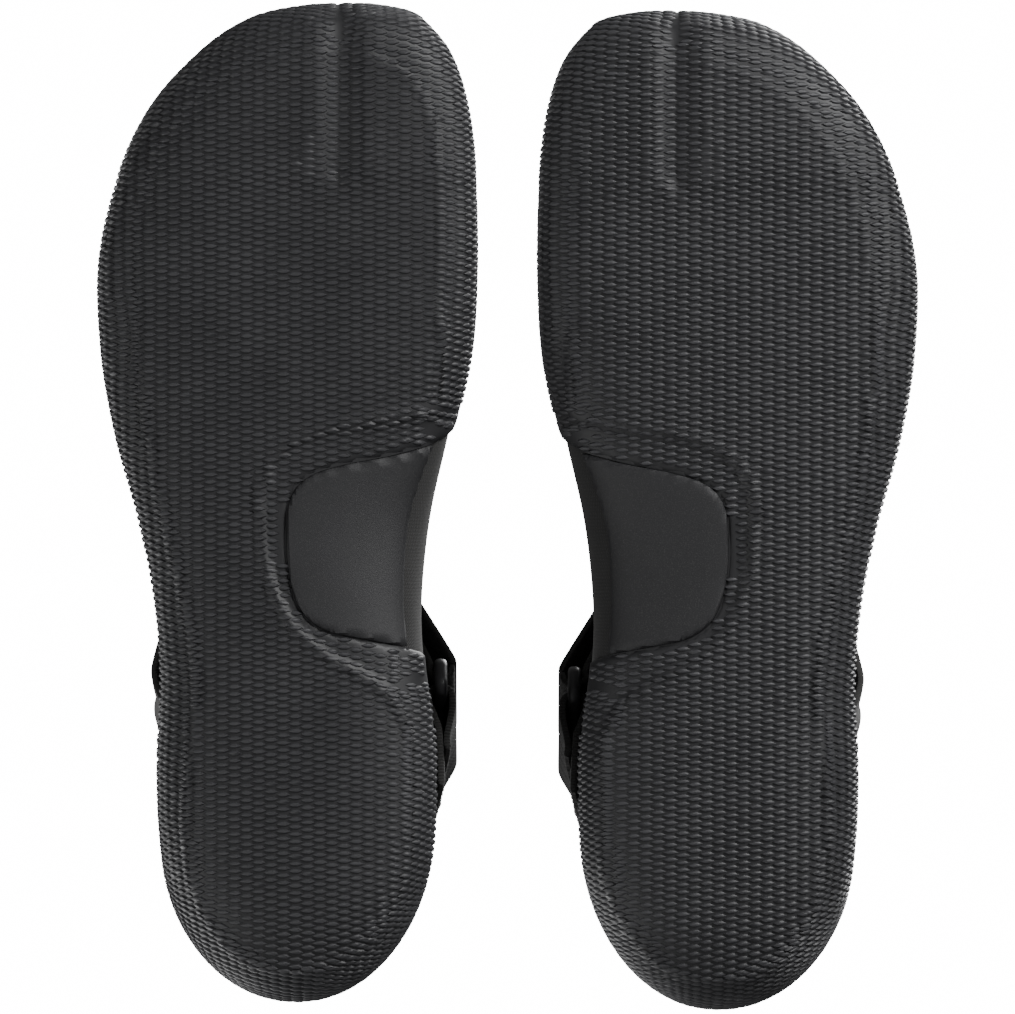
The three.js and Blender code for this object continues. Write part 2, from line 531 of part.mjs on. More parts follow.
// The tab that holds the ring: sewn on behind it, round its rear bar and back onto itself.
const tabTurn = ringBar / 2 + 0.45 + tabThick / 2;
const tabOff = clothGap + tabPatchThick + gap + tabThick / 2;
const tabPatchLine = (section) =>
  run(section, arcAt(section, tabFoot - patchMargin), arcAt(section, -14), clothGap + tabPatchThick / 2, 6);
const tabLine = (section) => [
  ...run(section, arcAt(section, tabFoot), arcAt(section, -16), tabOff, 6),
  ...smooth([
    ...run(section, arcAt(section, -16.5), arcAt(section, -16), tabOff, 1),
    new THREE.Vector2(-barAt - 2, ringW - tabTurn),
    new THREE.Vector2(-barAt, ringW - tabTurn),
  ], 6).slice(3, -1),
  ...aroundBar(-barAt, tabTurn, -90, 90, 7),
  ...smooth([
    new THREE.Vector2(-barAt, ringW + tabTurn),
    new THREE.Vector2(-barAt - 5, ringW + tabTurn),
    ...run(section, arcAt(section, tabEnd + 5), arcAt(section, tabEnd), tabOff + tabThick + gap, 1),
  ], 8).slice(1),
];
const tabPatch = largest(offBoot(band(patchWidth, tabPatchThick, tabPatchLine)));
const ringTab = largest(band(strapWidth - 2, tabThick, tabLine).subtract(roomFor(patchWidth, tabPatchThick, tabPatchLine)));

// ---- The back of the boot ----
const backStrip = (half) => box(-half, half, -gradeU(60), reach, 0, reach);
const belowBinding = cuffTop - bindingDepth - gap;
const backTape = largest(form(gap + backTapeThick).subtract(form(gap))
  .intersect(backStrip(backTapeWidth / 2)).intersect(box(-reach, reach, -reach, reach, backTapeFoot, belowBinding)));
const loopOn = gap + backTapeThick;
const loopFoot = belowBinding - 16;
const loopPatch = largest(form(loopOn + gap + 2 * loopThick).subtract(form(loopOn + gap))
  .intersect(backStrip(loopWidth / 2)).intersect(box(-reach, reach, -reach, reach, loopFoot, cuffTop - 1)));
const backAt = rows[steps][0].y + loopOn + gap + loopThick; // the middle of the two layers
const loopPath = [[-0.5, 0], [-1.3, 5], [-1.6, 11], [-0.6, 16], [3.2, loopRise + 2.6], [7.2, 15.6],
  [7.6, 10.5], [4.4, 5], [2.3, 0]];
const loopBase = cuffTop - 1 + gap;
const loopShape = curvePoints(loopPath.map(([q, z]) => [backAt + q, loopBase + z]), false, 16);
const loopRibbon = [
  ...loopShape.map((q, m) => q.clone().addScaledVector(leftOf(loopShape, m), loopThick / 2)),
  ...loopShape.map((q, m) => q.clone().addScaledVector(leftOf(loopShape, m), -loopThick / 2)).reverse(),
];
const loopJoin = [[-1.4, 0], [3.2, 0], [3.2, 1.1], [-1.4, 1.1]].map(([q, z]) =>
  new THREE.Vector2(backAt + q, loopBase + z));
const pullLoop = largest(extrude(loopRibbon, sideBasis, -loopWidth / 2, loopWidth / 2)
  .add(extrude(loopJoin, sideBasis, -loopWidth / 2, loopWidth / 2))
  .intersect(box(-reach, reach, -reach, reach, loopBase, reach)));

// ---- Looks and the tree ----
const paint = (name, colour, roughness) =>
  new THREE.MeshStandardMaterial({ name, color: colour, roughness, metalness: 0 });
const pieces = [
  ['outsole', outsole, 0x323234, 0.8],
  ['arch_panel', archPanel, 0x38383b, 0.75],
  ['midsole_board', board, 0x4a4946, 0.9],
  ['insole', insole, 0x2c2c2e, 0.95],
  ['vamp', vamp, 0x26262a, 0.95],
  ['gusset', gusset, 0x2f2f33, 0.95],
  ['medial_quarter', medialQuarter, 0x27272b, 0.95],
  ['lateral_quarter', lateralQuarter, 0x27272b, 0.95],
  ['cuff_panel', cuff, 0x1f1f22, 0.95],
  ['seam_tape', seamTape, 0x343438, 0.9],
  ['cuff_binding', cuffBinding, 0x18181a, 0.9],
  ['toe_divider', toeDivider, 0x2a2a2d, 0.95],
  ['back_tape', backTape, 0x1c1c1e, 0.9],
  ['loop_patch', loopPatch, 0x202022, 0.9],
  ['pull_loop', pullLoop, 0x202022, 0.9],
  ['strap_patch', strapPatch, 0x1d1d1f, 0.9],
  ['ankle_strap', ankleStrap, 0x232321, 0.9],
  ['strap_pile', strapPile, 0x141414, 1],
  ['strap_tail', strapTail, 0x242422, 0.9],
  ['strap_hook', strapHook, 0x111111, 1],
  ['strap_ring', strapRing, 0x292a2d, 0.45],
  ['ring_tab', ringTab, 0x232321, 0.9],
  ['tab_patch', tabPatch, 0x1d1d1f, 0.9],
];

function meshOf(solid, mirrored) {
  const { vertProperties, triVerts, numProp } = solid.getMesh();
  const positions = [];
  for (let k = 0; k < triVerts.length; k += 3) {
    const order = mirrored ? [triVerts[k], triVerts[k + 2], triVerts[k + 1]] : triVerts.slice(k, k + 3);
    order.forEach((v) => positions.push(
      vertProperties[v * numProp] * (mirrored ? -1 : 1), vertProperties[v * numProp + 1], vertProperties[v * numProp + 2]));
  }
  const geometry = new THREE.BufferGeometry();
  geometry.setAttribute('position', new THREE.Float32BufferAttribute(positions, 3));
  geometry.computeVertexNormals();
  return geometry;
}

const innerReach = gradeW(49.65) + gap + wallRubber; // from the heel centre line to the ball
const pairSpacing = 2 * innerReach + bootsApart;
const group = new THREE.Group();
group.name = 'neoprene_boots';
for (const side of ['right', 'left']) {
  const boot = new THREE.Group();
  boot.name = `${side}_boot`;
  const middleOfPair = bootLength / 2 - pairStagger / 2;
  boot.position.set(side === 'right' ? -pairSpacing / 2 : pairSpacing / 2,
    middleOfPair + (side === 'left' ? pairStagger : 0), 0);
  for (const [name, solid, colour, roughness] of pieces) {
    const mesh = new THREE.Mesh(meshOf(solid, side === 'left'), paint(name, colour, roughness));
    mesh.name = `${side}_${name}`;
    boot.add(mesh);
  }
  group.add(boot);
}
export default group;
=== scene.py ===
import bpy
import math
import numpy as np
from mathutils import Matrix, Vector
from mathutils.bvhtree import BVHTree


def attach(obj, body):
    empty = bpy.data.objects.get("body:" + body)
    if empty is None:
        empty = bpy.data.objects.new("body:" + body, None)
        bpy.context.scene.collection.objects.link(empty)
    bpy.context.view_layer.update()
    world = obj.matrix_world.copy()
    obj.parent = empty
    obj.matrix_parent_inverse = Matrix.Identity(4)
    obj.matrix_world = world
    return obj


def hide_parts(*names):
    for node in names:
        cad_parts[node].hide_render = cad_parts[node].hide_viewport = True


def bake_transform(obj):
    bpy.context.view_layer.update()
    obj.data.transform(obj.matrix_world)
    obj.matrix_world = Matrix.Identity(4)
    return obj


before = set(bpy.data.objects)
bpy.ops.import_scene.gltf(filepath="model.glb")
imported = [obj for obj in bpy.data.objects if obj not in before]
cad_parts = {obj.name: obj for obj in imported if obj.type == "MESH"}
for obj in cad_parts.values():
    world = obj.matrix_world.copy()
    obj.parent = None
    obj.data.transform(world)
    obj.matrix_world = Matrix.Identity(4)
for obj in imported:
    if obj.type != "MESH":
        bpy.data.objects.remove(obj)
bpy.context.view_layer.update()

# ---- Outsole ----
# One moulding of rubber: the tread under the foot wraps up over the toes and round the heel, and
# the edge of the board inside shows through it. The tread is rows of fine lens-shaped lugs.

# Both boots are sewn and moulded on one last, the left one mirrored. Each row is a girth from the
# toe tip round the heel to the cuff, in millimetres: where it crosses the keel, the two sides and
# the ridge (forward, towards the big toe, up), and how square its corners are.
LAST = np.array([
    [282.4, 14, 17, 282.4, 14, 17, 282.4, 14, 17, 282.4, 14, 17, 2.2, 2.2, 2.2],
    [280.6, 14, 10.8, 280.6, 30, 17, 280.6, -4, 17, 280.6, 14, 23, 2.2, 2.2, 2.2],
    [276.5, 13, 7.2, 276.5, 36.2, 17, 276.5, -15.5, 17, 276.5, 13, 27, 2.5, 2.5, 2.2],
    [268, 11, 5, 268, 42.6, 17, 268, -27, 16.5, 268, 12, 30, 2.8, 2.8, 2.2],
    [254, 8, 4, 254, 47, 16.5, 254, -39.5, 16, 254, 11, 33, 3, 3, 2.2],
    [236, 5, 3.5, 236, 49, 16, 236, -48.3, 15, 236, 10, 37.5, 3.2, 3.2, 2.2],
    [212, 3, 3.5, 212, 49.7, 16, 212, -54.2, 14.5, 212, 9, 45, 3.2, 3.2, 2.1],
    [186, 1, 3.5, 186, 48.3, 18, 186, -53.8, 15, 186, 8, 55, 2.9, 3.1, 2.1],
    [162, -1, 3.5, 162, 43.3, 22, 162, -49.8, 16, 163, 6, 66.5, 2.4, 3, 2.1],
    [138, -2, 3.6, 138, 38, 26, 138, -43.3, 17, 146, 3.5, 77.5, 2.1, 2.8, 2.15],
    [114, -1, 3.5, 114, 35.6, 25, 114, -38.6, 18, 136, 1, 86.5, 2.2, 2.7, 2.2],
    [90, 0, 3.5, 93, 36.2, 22, 93, -37, 19, 130, 0, 94.5, 2.5, 2.7, 2.25],
    [66, 0, 3.5, 73, 38.2, 22, 73, -37.9, 21, 126.2, 0, 102, 2.7, 2.8, 2.25],
    [42, 0, 3.8, 58, 38, 24, 58, -37.8, 23.5, 123.8, 0, 109.5, 2.7, 2.7, 2.25],
    [21, 0, 5.2, 50, 37.6, 27.5, 50, -37.2, 27.5, 122, 0, 117, 2.4, 2.4, 2.25],
    [7, 0, 12, 46.5, 36.6, 34, 47, -37, 34, 120.8, 0, 124.5, 2.15, 2.15, 2.2],
    [1.8, 0, 26, 47, 35.4, 44, 48.5, -37, 44, 120, 0, 132, 2.05, 2.05, 2.2],
    [4.5, 0, 45, 50, 34.2, 58, 51.5, -37, 58, 119.6, 0, 140, 2, 2, 2.2],
    [10.5, 0, 67, 54.5, 34, 77, 55.5, -37, 77, 119.4, 0, 149, 2, 2, 2.1],
    [15, 0, 92, 59.5, 34.4, 100, 59.5, -36.8, 100, 119.5, 0, 159, 2, 2, 2],
    [17, 0, 121, 63, 36.4, 128, 63, -37.2, 128, 120, 0, 170, 2, 2, 2],
    [16.4, 0, 156, 66.5, 38.6, 161, 66.5, -38.4, 161, 121, 0, 182, 2, 2, 2],
    [14.5, 0, 195, 68.5, 40.5, 195, 68.5, -39.8, 195, 122.5, 0, 195, 2, 2, 2]])
grade = 284 / 284.2


def between(a, b, c, d, f):
    """The smooth curve through four points, f of the way from b to c."""
    return b + 0.5 * f * (c - a + f * (2 * a - 5 * b + 4 * c - d + f * (3 * (b - c) + d - a)))


def row_at(t):
    """The girth at t rows from the tip. Beyond the tip the skin turns back over itself."""
    tip = LAST[1].copy()
    for n in range(12):
        if n % 3:
            tip[n] = 2 * LAST[0][n] - tip[n]
    rows = np.vstack([tip, LAST, 2 * LAST[-1] - LAST[-2]])
    i = np.clip(np.floor(t).astype(int), 0, len(LAST) - 2)
    return between(*(rows[i + k] for k in range(4)), (t - i)[:, None])


def unit(v):
    return v / np.maximum(np.linalg.norm(v, axis=-1, keepdims=True), 1e-9)


def at_lengths(at, lengths, columns):
    """Each column's value at the lengths at."""
    return np.stack([np.interp(at, lengths, column) for column in columns.T], -1)


def arc_length(line):
    return np.r_[0, np.linalg.norm(np.diff(line, axis=0), axis=1).cumsum()]


def girths(t, count):
    """The last's surface at each t, count points round from the keel by the medial side."""
    r = row_at(t)
    keel, medial, lateral, ridge = (
        np.stack([r[:, 3 * k + 1], -r[:, 3 * k] * grade, r[:, 3 * k + 2]], 1) for k in range(4))
    out = []
    for start, end, side, square, back in (
            (keel, medial, medial, 12, False), (medial, ridge, medial, 14, True),
            (ridge, lateral, lateral, 14, False), (lateral, keel, lateral, 13, True)):
        pole = end if back else start
        centre = np.stack([pole[:, 0], side[:, 1], side[:, 2]], 1)
        a = np.linspace(0, math.pi / 2, 61)[::-1 if back else 1]
        power = (2 / r[:, square])[:, None]
        c, s = (np.maximum(v, 0)[None, :] ** power for v in (np.cos(a), np.sin(a)))
        to_pole, to_side = (pole - centre)[:, None], (side - centre)[:, None]
        fine = centre[:, None] + to_pole * c[..., None] + to_side * s[..., None]
        n = count // 4
        arcs = [arc_length(line) for line in fine]
        out.append(np.array([at_lengths(s[-1] * np.arange(n) / n, s, line) for s, line in zip(arcs, fine)]))
    return np.concatenate(out, 1)


# The girths are spread evenly over the skin, and its cloth places are how far round and along.
AROUND, ROWS = 208, 304
probe_at = np.linspace(0, len(LAST) - 1, 441)
probe = girths(probe_at, 24)
speed = np.quantile(np.linalg.norm(np.diff(probe, axis=0), axis=2), 0.8, axis=1).cumsum()
SKIN = girths(np.interp(np.linspace(0, speed[-1], ROWS), np.r_[0, speed], probe_at), AROUND)
NORMAL = unit(np.cross(np.gradient(SKIN, axis=0), np.roll(SKIN, -1, 1) - np.roll(SKIN, 1, 1)))
NORMAL[0] = (0, -1, 0)
step = np.linalg.norm(np.diff(SKIN, axis=0, prepend=SKIN[:1]), axis=2)
CLOTH = np.stack([
    np.concatenate([np.zeros((ROWS, 1)), np.linalg.norm(np.diff(SKIN, axis=1), axis=2).cumsum(1)], 1),
    np.repeat(np.quantile(step, 0.6, axis=1).cumsum()[:, None], AROUND, 1)], 2)
CLOTH[..., 0] -= CLOTH[:, AROUND // 2, 0][:, None]
skin_p, skin_n, skin_c = SKIN.reshape(-1, 3), NORMAL.reshape(-1, 3), CLOTH.reshape(-1, 2)
cell = np.arange((ROWS - 1) * AROUND).reshape(ROWS - 1, AROUND)
quads = np.stack([cell, cell + AROUND, np.roll(cell + AROUND, -1, 1), np.roll(cell, -1, 1)], 2).reshape(-1, 4)
SKIN_TRIS = np.concatenate([quads[:, [0, 1, 2]], quads[:, [0, 2, 3]]])
SKIN_TRIS = SKIN_TRIS[(SKIN_TRIS < AROUND).sum(1) < 2]
SKIN_TRIS[SKIN_TRIS < AROUND] = 0
# Forward from the back of the heel, towards the big toe's side, and up.
U, W, Z = -skin_p[:, 1] / grade, skin_p[:, 0], skin_p[:, 2]


def curve(points, closed=False, per=12):
    """A smooth curve through points."""
    p = np.array(points, float)
    if closed:
        q = np.concatenate([p[-1:], p, p[:2]])
    else:
        q = np.concatenate([2 * p[:1] - p[1:2], p, 2 * p[-1:] - p[-2:-1]])
    f = np.linspace(0, 1, per, endpoint=False)[:, None]
    out = [between(*q[k:k + 4], f) for k in range(len(q) - 3)]
    return np.concatenate(out if closed else [*out, p[-1:]])


def side_of(line, x, y, closed=False):
    """Signed distance of points (x, y) to a line: positive on its left, or inside a closed one."""
    a = np.asarray(line, float)
    best, sign, inside = np.full(len(x), 1e9), np.ones(len(x)), np.zeros(len(x), bool)
    for (ax, ay), (bx, by) in zip(a, np.roll(a, -1, 0) if closed else a[1:]):
        dx, dy = bx - ax, by - ay
        f = np.clip(((x - ax) * dx + (y - ay) * dy) / max(dx * dx + dy * dy, 1e-12), 0, 1)
        d = np.hypot(x - ax - f * dx, y - ay - f * dy)
        nearer = d < best - 1e-9
        best = np.where(nearer, d, best)
        sign = np.where(nearer, np.sign(dx * (y - ay) - dy * (x - ax)), sign)
        inside ^= ((ay > y) != (by > y)) & (x < ax + (y - ay) * dx / (dy or 1e-9))
    return best * (np.where(inside, 1, -1) if closed else sign)


def clipped(field, *carried):
    """The skin where field is over zero: points, normals, cloth places, field values, triangles, and
    the carried values at its points."""
    inside = field > 0
    count = inside[SKIN_TRIS].sum(1)
    cuts, mixes, pieces = {}, [], []

    def cut(i, j):
        key = (min(i, j), max(i, j))
        if key not in cuts:
            cuts[key] = len(skin_p) + len(cuts)
            mixes.append((i, j, field[i] / (field[i] - field[j])))
        return cuts[key]

    for t in SKIN_TRIS[(count == 1) | (count == 2)]:
        ins = [bool(inside[k]) for k in t]
        odd = ins.index(sum(ins) == 1)
        a, b, c = t[odd], t[odd - 2], t[odd - 1]
        ab, ac = cut(a, b), cut(a, c)
        pieces += [(a, ab, ac)] if ins[odd] else [(ab, b, c), (ab, c, ac)]
    faces = np.concatenate([SKIN_TRIS[count == 3], np.array(pieces, int).reshape(-1, 3)])
    m = np.array(mixes, float).reshape(-1, 3)
    i, j, f = m[:, 0].astype(int), m[:, 1].astype(int), m[:, 2:]
    used, faces = np.unique(faces, return_inverse=True)
    p, n, c, field, *carried = (
        np.concatenate([v, v[i] * (1 - f) + v[j] * f])[used]
        for v in (skin_p, skin_n, skin_c, field[:, None], *(v[:, None] for v in carried)))
    return p, unit(n), c, field[:, 0], faces.reshape(-1, 3), *(v[:, 0] for v in carried)


def sealed(top, low, cloth, faces):
    """A closed solid from the two faces of a sheet, with walls along the edges that only one face uses."""
    e = np.concatenate([faces[:, [0, 1]], faces[:, [1, 2]], faces[:, [2, 0]]])
    there, back = (e[:, k] * (faces.max() + 1) + e[:, 1 - k] for k in (0, 1))
    a, b = e[~np.isin(there, back)].T
    k = len(top)
    walls = np.concatenate([np.stack([b, a, a + k], 1), np.stack([b, a + k, b + k], 1)])
    faces = np.concatenate([faces, faces[:, ::-1] + k, walls])
    return np.concatenate([top, low]), faces, np.concatenate([cloth, cloth])


def slab(part, outer, inner, edge=0.0):
    """A sheet of the skin with thickness: outer and inner are distances off the last, and the outer
    face rounds down over the last edge millimetres before the rim."""
    p, n, c, f, faces = part
    drop = edge * (1 - np.sqrt(1 - (1 - np.clip(f / edge, 0, 1)) ** 2)) if edge else 0
    top = p + n * (np.broadcast_to(outer, len(p)) - drop)[:, None]
    return sealed(top, p + n * np.broadcast_to(inner, len(p))[:, None], c, faces)


def placed(name, data):
    obj = bpy.data.objects.new(name, data)
    bpy.context.collection.objects.link(obj)
    return obj


def solid(name, verts, faces, material, cloth=None, sharp=40):
    """One mesh object."""
    mesh = bpy.data.meshes.new(name)
    mesh.from_pydata(np.asarray(verts).tolist(), [], faces if isinstance(faces, list) else faces.tolist())
    mesh.validate()
    mesh.shade_smooth()
    if sharp:
        mesh.set_sharp_from_angle(angle=math.radians(sharp))
    if cloth is not None:
        places = np.column_stack([cloth, np.zeros(len(cloth))]).astype(np.float32)
        mesh.attributes.new("cloth", "FLOAT_VECTOR", "POINT").data.foreach_set("vector", places.ravel())
    mesh.materials.append(material)
    return placed(name, mesh)


SIDES = {"right": (1, (-60, 140.9, 0)), "left": (-1, (60, 143.1, 0))}


def in_row(side, points):
    """Millimetres on the last to metres in the row frame."""
    sign, place = SIDES[side]
    return (np.asarray(points, float) * (sign, 1, 1) + place) / 1000


def pair(piece, made, material, body="boot", sharp=40, bend=None, added=False):
    """The right and left copies of a piece, in place of the CAD nodes of that name unless it is added
    to them. Given a bend, the piece is fixed where it is made and not attached to the body."""
    for side in SIDES:
        verts, faces, *cloth = made[side] if isinstance(made, dict) else made
        name = f"{side}_{piece}"
        obj = solid(name if added else name + "_look", in_row(side, verts),
                    faces if side == "right" else faces[:, ::-1], material, *cloth, sharp=sharp)
        if not added:
            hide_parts(name)
        if bend:
            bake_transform(obj)
        else:
            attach(obj, f"{side}_{body}")


class Nodes:
    """A node tree under construction."""

    def __init__(self, tree):
        self.tree = tree

    def feed(self, socket, value):
        """Links a socket, or sets it; a colour has three numbers."""
        if isinstance(value, bpy.types.NodeSocket):
            self.tree.links.new(value, socket)
        else:
            socket.default_value = (*value, 1) if socket.type == "RGBA" else value

    def node(self, kind, inputs=(), **settings):
        n = self.tree.nodes.new(kind)
        for key, value in settings.items():
            setattr(n, key, value)
        for key, value in dict(inputs).items():
            self.feed(n.inputs[key], value)
        return n

    def math(self, operation, a, b=0.0):
        return self.node("ShaderNodeMath", {0: a, 1: b}, operation=operation).outputs[0]

    def add(self, a, b):
        return self.math("ADD", a, b)

    def times(self, a, b):
        return self.math("MULTIPLY", a, b)

    def wave(self, value, pitch):
        """A ridge every pitch millimetres, from 0 to 1."""
        turns = self.times(value, self.math("DIVIDE", 2 * math.pi, pitch))
        return self.times(self.add(self.math("SINE", turns), 1.0), 0.5)

    def axes(self, vector):
        return self.node("ShaderNodeSeparateXYZ", {0: vector}).outputs

    def noise(self, where, scale, detail=2.0, rough=0.5):
        settings = {"Vector": where, "Scale": scale, "Detail": detail, "Roughness": rough}
        return self.node("ShaderNodeTexNoise", settings).outputs["Fac"]

    def span(self, value, low, high, to_low=0.0, to_high=1.0):
        return self.node("ShaderNodeMapRange", {0: value, 1: low, 2: high, 3: to_low, 4: to_high}).outputs[0]

    def mix(self, amount, a, b):
        return self.node("ShaderNodeMix", {0: amount, 6: a, 7: b}, data_type="RGBA").outputs[2]


def node_group(name, kind, inputs, outputs, build):
    """A node group, with its sockets' kinds by name. build returns what goes to the outputs."""
    tree = bpy.data.node_groups.new(name, kind)
    for way, sockets in (("INPUT", inputs), ("OUTPUT", outputs)):
        for label, socket in sockets.items():
            tree.interface.new_socket(label, in_out=way, socket_type="NodeSocket" + socket)
    n = Nodes(tree)
    n.node("NodeGroupOutput", build(n, n.node("NodeGroupInput").outputs))
    return tree


def stand_on_points(n, given):
    """Repeated small shapes stand on points, turned by two directions kept on the points."""
    facing, lengthwise, size = (
        n.node("GeometryNodeInputNamedAttribute", {"Name": k}, data_type="FLOAT_VECTOR").outputs["Attribute"]
        for k in ("facing", "lengthwise", "size"))
    turn = n.node("FunctionNodeAxesToRotation", primary_axis="Z", secondary_axis="X")
    n.feed(turn.inputs[0], facing)
    n.feed(turn.inputs[1], lengthwise)
    item = n.node("GeometryNodeObjectInfo", {"Object": given["Item"]})
    stood = n.node("GeometryNodeInstanceOnPoints", {
        "Points": given["Geometry"], "Instance": item.outputs["Geometry"], "Rotation": turn.outputs[0],
        "Scale": size})
    real = n.node("GeometryNodeRealizeInstances", {0: stood.outputs[0]})
    painted = n.node("GeometryNodeSetMaterial", {"Geometry": real.outputs[0], "Material": given["Material"]})
    return {"Geometry": painted.outputs[0]}


scatter_tree = node_group(
    "Stand on points", "GeometryNodeTree", {"Geometry": "Geometry", "Item": "Object", "Material": "Material"},
    {"Geometry": "Geometry"}, stand_on_points)


def scattered(points, facing, lengthwise, size, item, material):
    """Copies of item, in millimetres, on every point: their joined points and triangles."""
    mesh = bpy.data.meshes.new("points")
    mesh.from_pydata(points.tolist(), [], [])
    for key, values in (("facing", facing), ("lengthwise", lengthwise), ("size", size)):
        held = mesh.attributes.new(key, "FLOAT_VECTOR", "POINT")
        held.data.foreach_set("vector", np.asarray(values, np.float32).ravel())
    holder = placed("points", mesh)
    thing = solid("item", *item, material, sharp=0)
    mod = holder.modifiers.new("stand", "NODES")
    mod.node_group = scatter_tree
    inputs = {s.name: s.identifier for s in scatter_tree.interface.items_tree if s.in_out == "INPUT"}
    mod[inputs["Item"]] = thing
    mod[inputs["Material"]] = material
    bpy.context.view_layer.update()
    done = bpy.data.meshes.new_from_object(holder.evaluated_get(bpy.context.evaluated_depsgraph_get()))
    done.calc_loop_triangles()
    verts = np.array([v.co[:] for v in done.vertices])
    tris = np.array([t.vertices[:] for t in done.loop_triangles])
    holder.modifiers.remove(mod)
    for o in (holder, thing):
        bpy.data.objects.remove(o)
    bpy.data.meshes.remove(done)
    return verts, tris


class Paint(Nodes):
    """A material under construction."""

    def __init__(self, name):
        self.material = bpy.data.materials.new(name)
        self.material.use_nodes = True
        super().__init__(self.material.node_tree)
        self.face = self.tree.nodes["Principled BSDF"]

    def place(self, attribute=None):
        """Millimetre coordinates: along the cloth, or in space."""
        if attribute:
            return self.node("ShaderNodeAttribute", attribute_name=attribute).outputs["Vector"]
        at = self.node("ShaderNodeTexCoord").outputs["Object"]
        return self.node("ShaderNodeVectorMath", {0: at, "Scale": 1000.0}, operation="SCALE").outputs[0]

    def use(self, effect, **values):
        """Places a shared effect with this material's own values."""
        group = self.node("ShaderNodeGroup", node_tree=effect)
        for key, value in values.items():
            self.feed(group.inputs[key.replace("_", " ")], value)
        return group.outputs

    def set(self, **sockets):
        for key, value in sockets.items():
            self.feed(self.face.inputs[key.replace("_", " ")], value)

    def bump(self, height, depth, strength=1.0):
        """depth is in millimetres, for a height of one."""
        n = self.node("ShaderNodeBump", {"Height": height, "Distance": depth / 1000, "Strength": strength})
        self.feed(self.face.inputs["Normal"], n.outputs[0])


def effect(name, colours, numbers, outputs, build):
    """A shader node group that several materials place, each with its own colours and numbers."""
    inputs = {"Place": "Vector", **dict.fromkeys(colours, "Color"), **dict.fromkeys(numbers, "Float")}
    return node_group(name, "ShaderNodeTree", inputs,
                      {o: "Color" if o == "Color" else "Float" for o in outputs}, build)


# Where the rubber ends on the two sides (forward, up), and on the flat (forward, towards the big
# toe): the arch panel, the board inside and the fold between the tread and the walls.
LATERAL_EDGE = curve([[-6, 50], [12, 44], [34, 32], [60, 24], [95, 20], [135, 19], [175, 21], [215, 24],
                      [242, 27], [256, 32], [262, 45]])
MEDIAL_EDGE = curve([[-6, 50], [12, 44], [34, 31], [60, 22], [95, 18], [135, 18], [175, 22], [215, 25],
                     [242, 28], [256, 32], [262, 45]])
ARCH = curve([[174, 60], [171, 47.5], [165, 44.6], [160.5, 41], [156, 28], [152.5, 12], [149, 3], [143, -1.6],
              [133, -2.6], [121, -1.8], [111.5, 1.5], [106, 8], [103.5, 18], [101, 30], [98, 42], [97.5, 60]])
BOARD = curve([
    [172, 60], [168, 38], [165.5, 24], [162.5, 8], [157, -3], [150, -8.2], [141, -9.6], [130, -9],
    [119, -6.4], [108, -1], [99.5, 8], [93, 19], [85, 28], [72, 33], [58, 34.4], [43, 33], [29, 28.6],
    [17, 20], [11, 8], [10, -4], [14, -16], [27, -26], [43, -30.4], [60, -30.4], [80, -28.4], [92, -28],
    [106, -29.6], [126, -34], [150, -39.5], [180, -43.5], [212, -43], [240, -34], [258, -20],
    [268, -2], [270, 14], [264, 30], [250, 38], [220, 41], [192, 41], [180, 60]], closed=True, per=6)
BOARD[:, 1] = np.minimum(BOARD[:, 1], 41.5)
FOLD = curve([
    [274, 16], [270, 27], [262, 34.5], [250, 39.5], [236, 41.5], [212, 42], [190, 41.3], [172, 38], [155, 33],
    [140, 30.5], [118, 28], [95, 29], [75, 31.5], [58, 31.8], [42, 30.5], [30, 28], [18, 21], [10, 11],
    [8.5, 0], [10, -10], [18, -21], [30, -28.5], [45, -31], [68, -31.8], [95, -30.5], [118, -31.5],
    [139, -36], [160, -42], [185, -46.5], [212, -47], [231, -43.5], [247, -36], [260, -26], [269, -12],
    [273.5, 2]], closed=True)


def soft_step(x, low, high):
    x = np.clip((x - low) / (high - low), 0, 1)
    return x * x * (3 - 2 * x)


near_floor = Z < 60


def on_the_flat(outline):
    """Distance inside an outline on the flat, near the floor only."""
    d = np.full(len(U), -50.0)
    d[near_floor] = side_of(outline, U[near_floor], W[near_floor], closed=True)
    return d


def bump_at(value, middle, size):
    return np.exp(-((value - middle) / size) ** 2)


def spot(u, w, size):
    return np.exp(-(((U - u) / size) ** 2 + ((W - w) / size) ** 2))


d_board, d_arch = on_the_flat(BOARD), on_the_flat(ARCH)
d_rubber = np.where(W > 0, -side_of(MEDIAL_EDGE, U, Z), -side_of(LATERAL_EDGE, U, Z))
under = soft_step(-skin_n[:, 2], 0.55, 0.9)
toe_run = soft_step(U, 229, 238) * soft_step(285.5 - U, 0.5, 9)
behind_ball = 1 - 0.75 * soft_step(U, 180, 205)
board_shows = -0.7 * (1 - soft_step(d_board, -2.2, 0.6)) + 0.55 * bump_at(d_board, 0.6, 1.4)
relief = under * behind_ball * board_shows
lobes = toe_run * soft_step(-skin_n[:, 2], -0.3, 0.4)
TOE_SPLIT = 12.6
relief += lobes * (0.5 - 1.25 * bump_at(W, TOE_SPLIT, 4.3)
                   + 0.35 * bump_at(W, 4, 4) + 0.35 * bump_at(W, 20, 4))
relief += soft_step(-skin_n[:, 2], 0.2, 0.6) * (0.7 * spot(233, 15, 2.0) - 0.35 * spot(235.5, 11.3, 1.8))
field = np.minimum(d_rubber, -d_arch - 0.05)
WALL, TREAD_MORE = 1.55, 0.9
*sole, sole_relief, sole_under = clipped(field, relief, under)
sole_outer = WALL + TREAD_MORE * sole_under + sole_relief
sole_inner = np.minimum(0.3 + 1.5 * sole_under, np.maximum(sole_outer - 0.25, 0.3))
sole_base = slab(sole, sole_outer, sole_inner, edge=0.9)
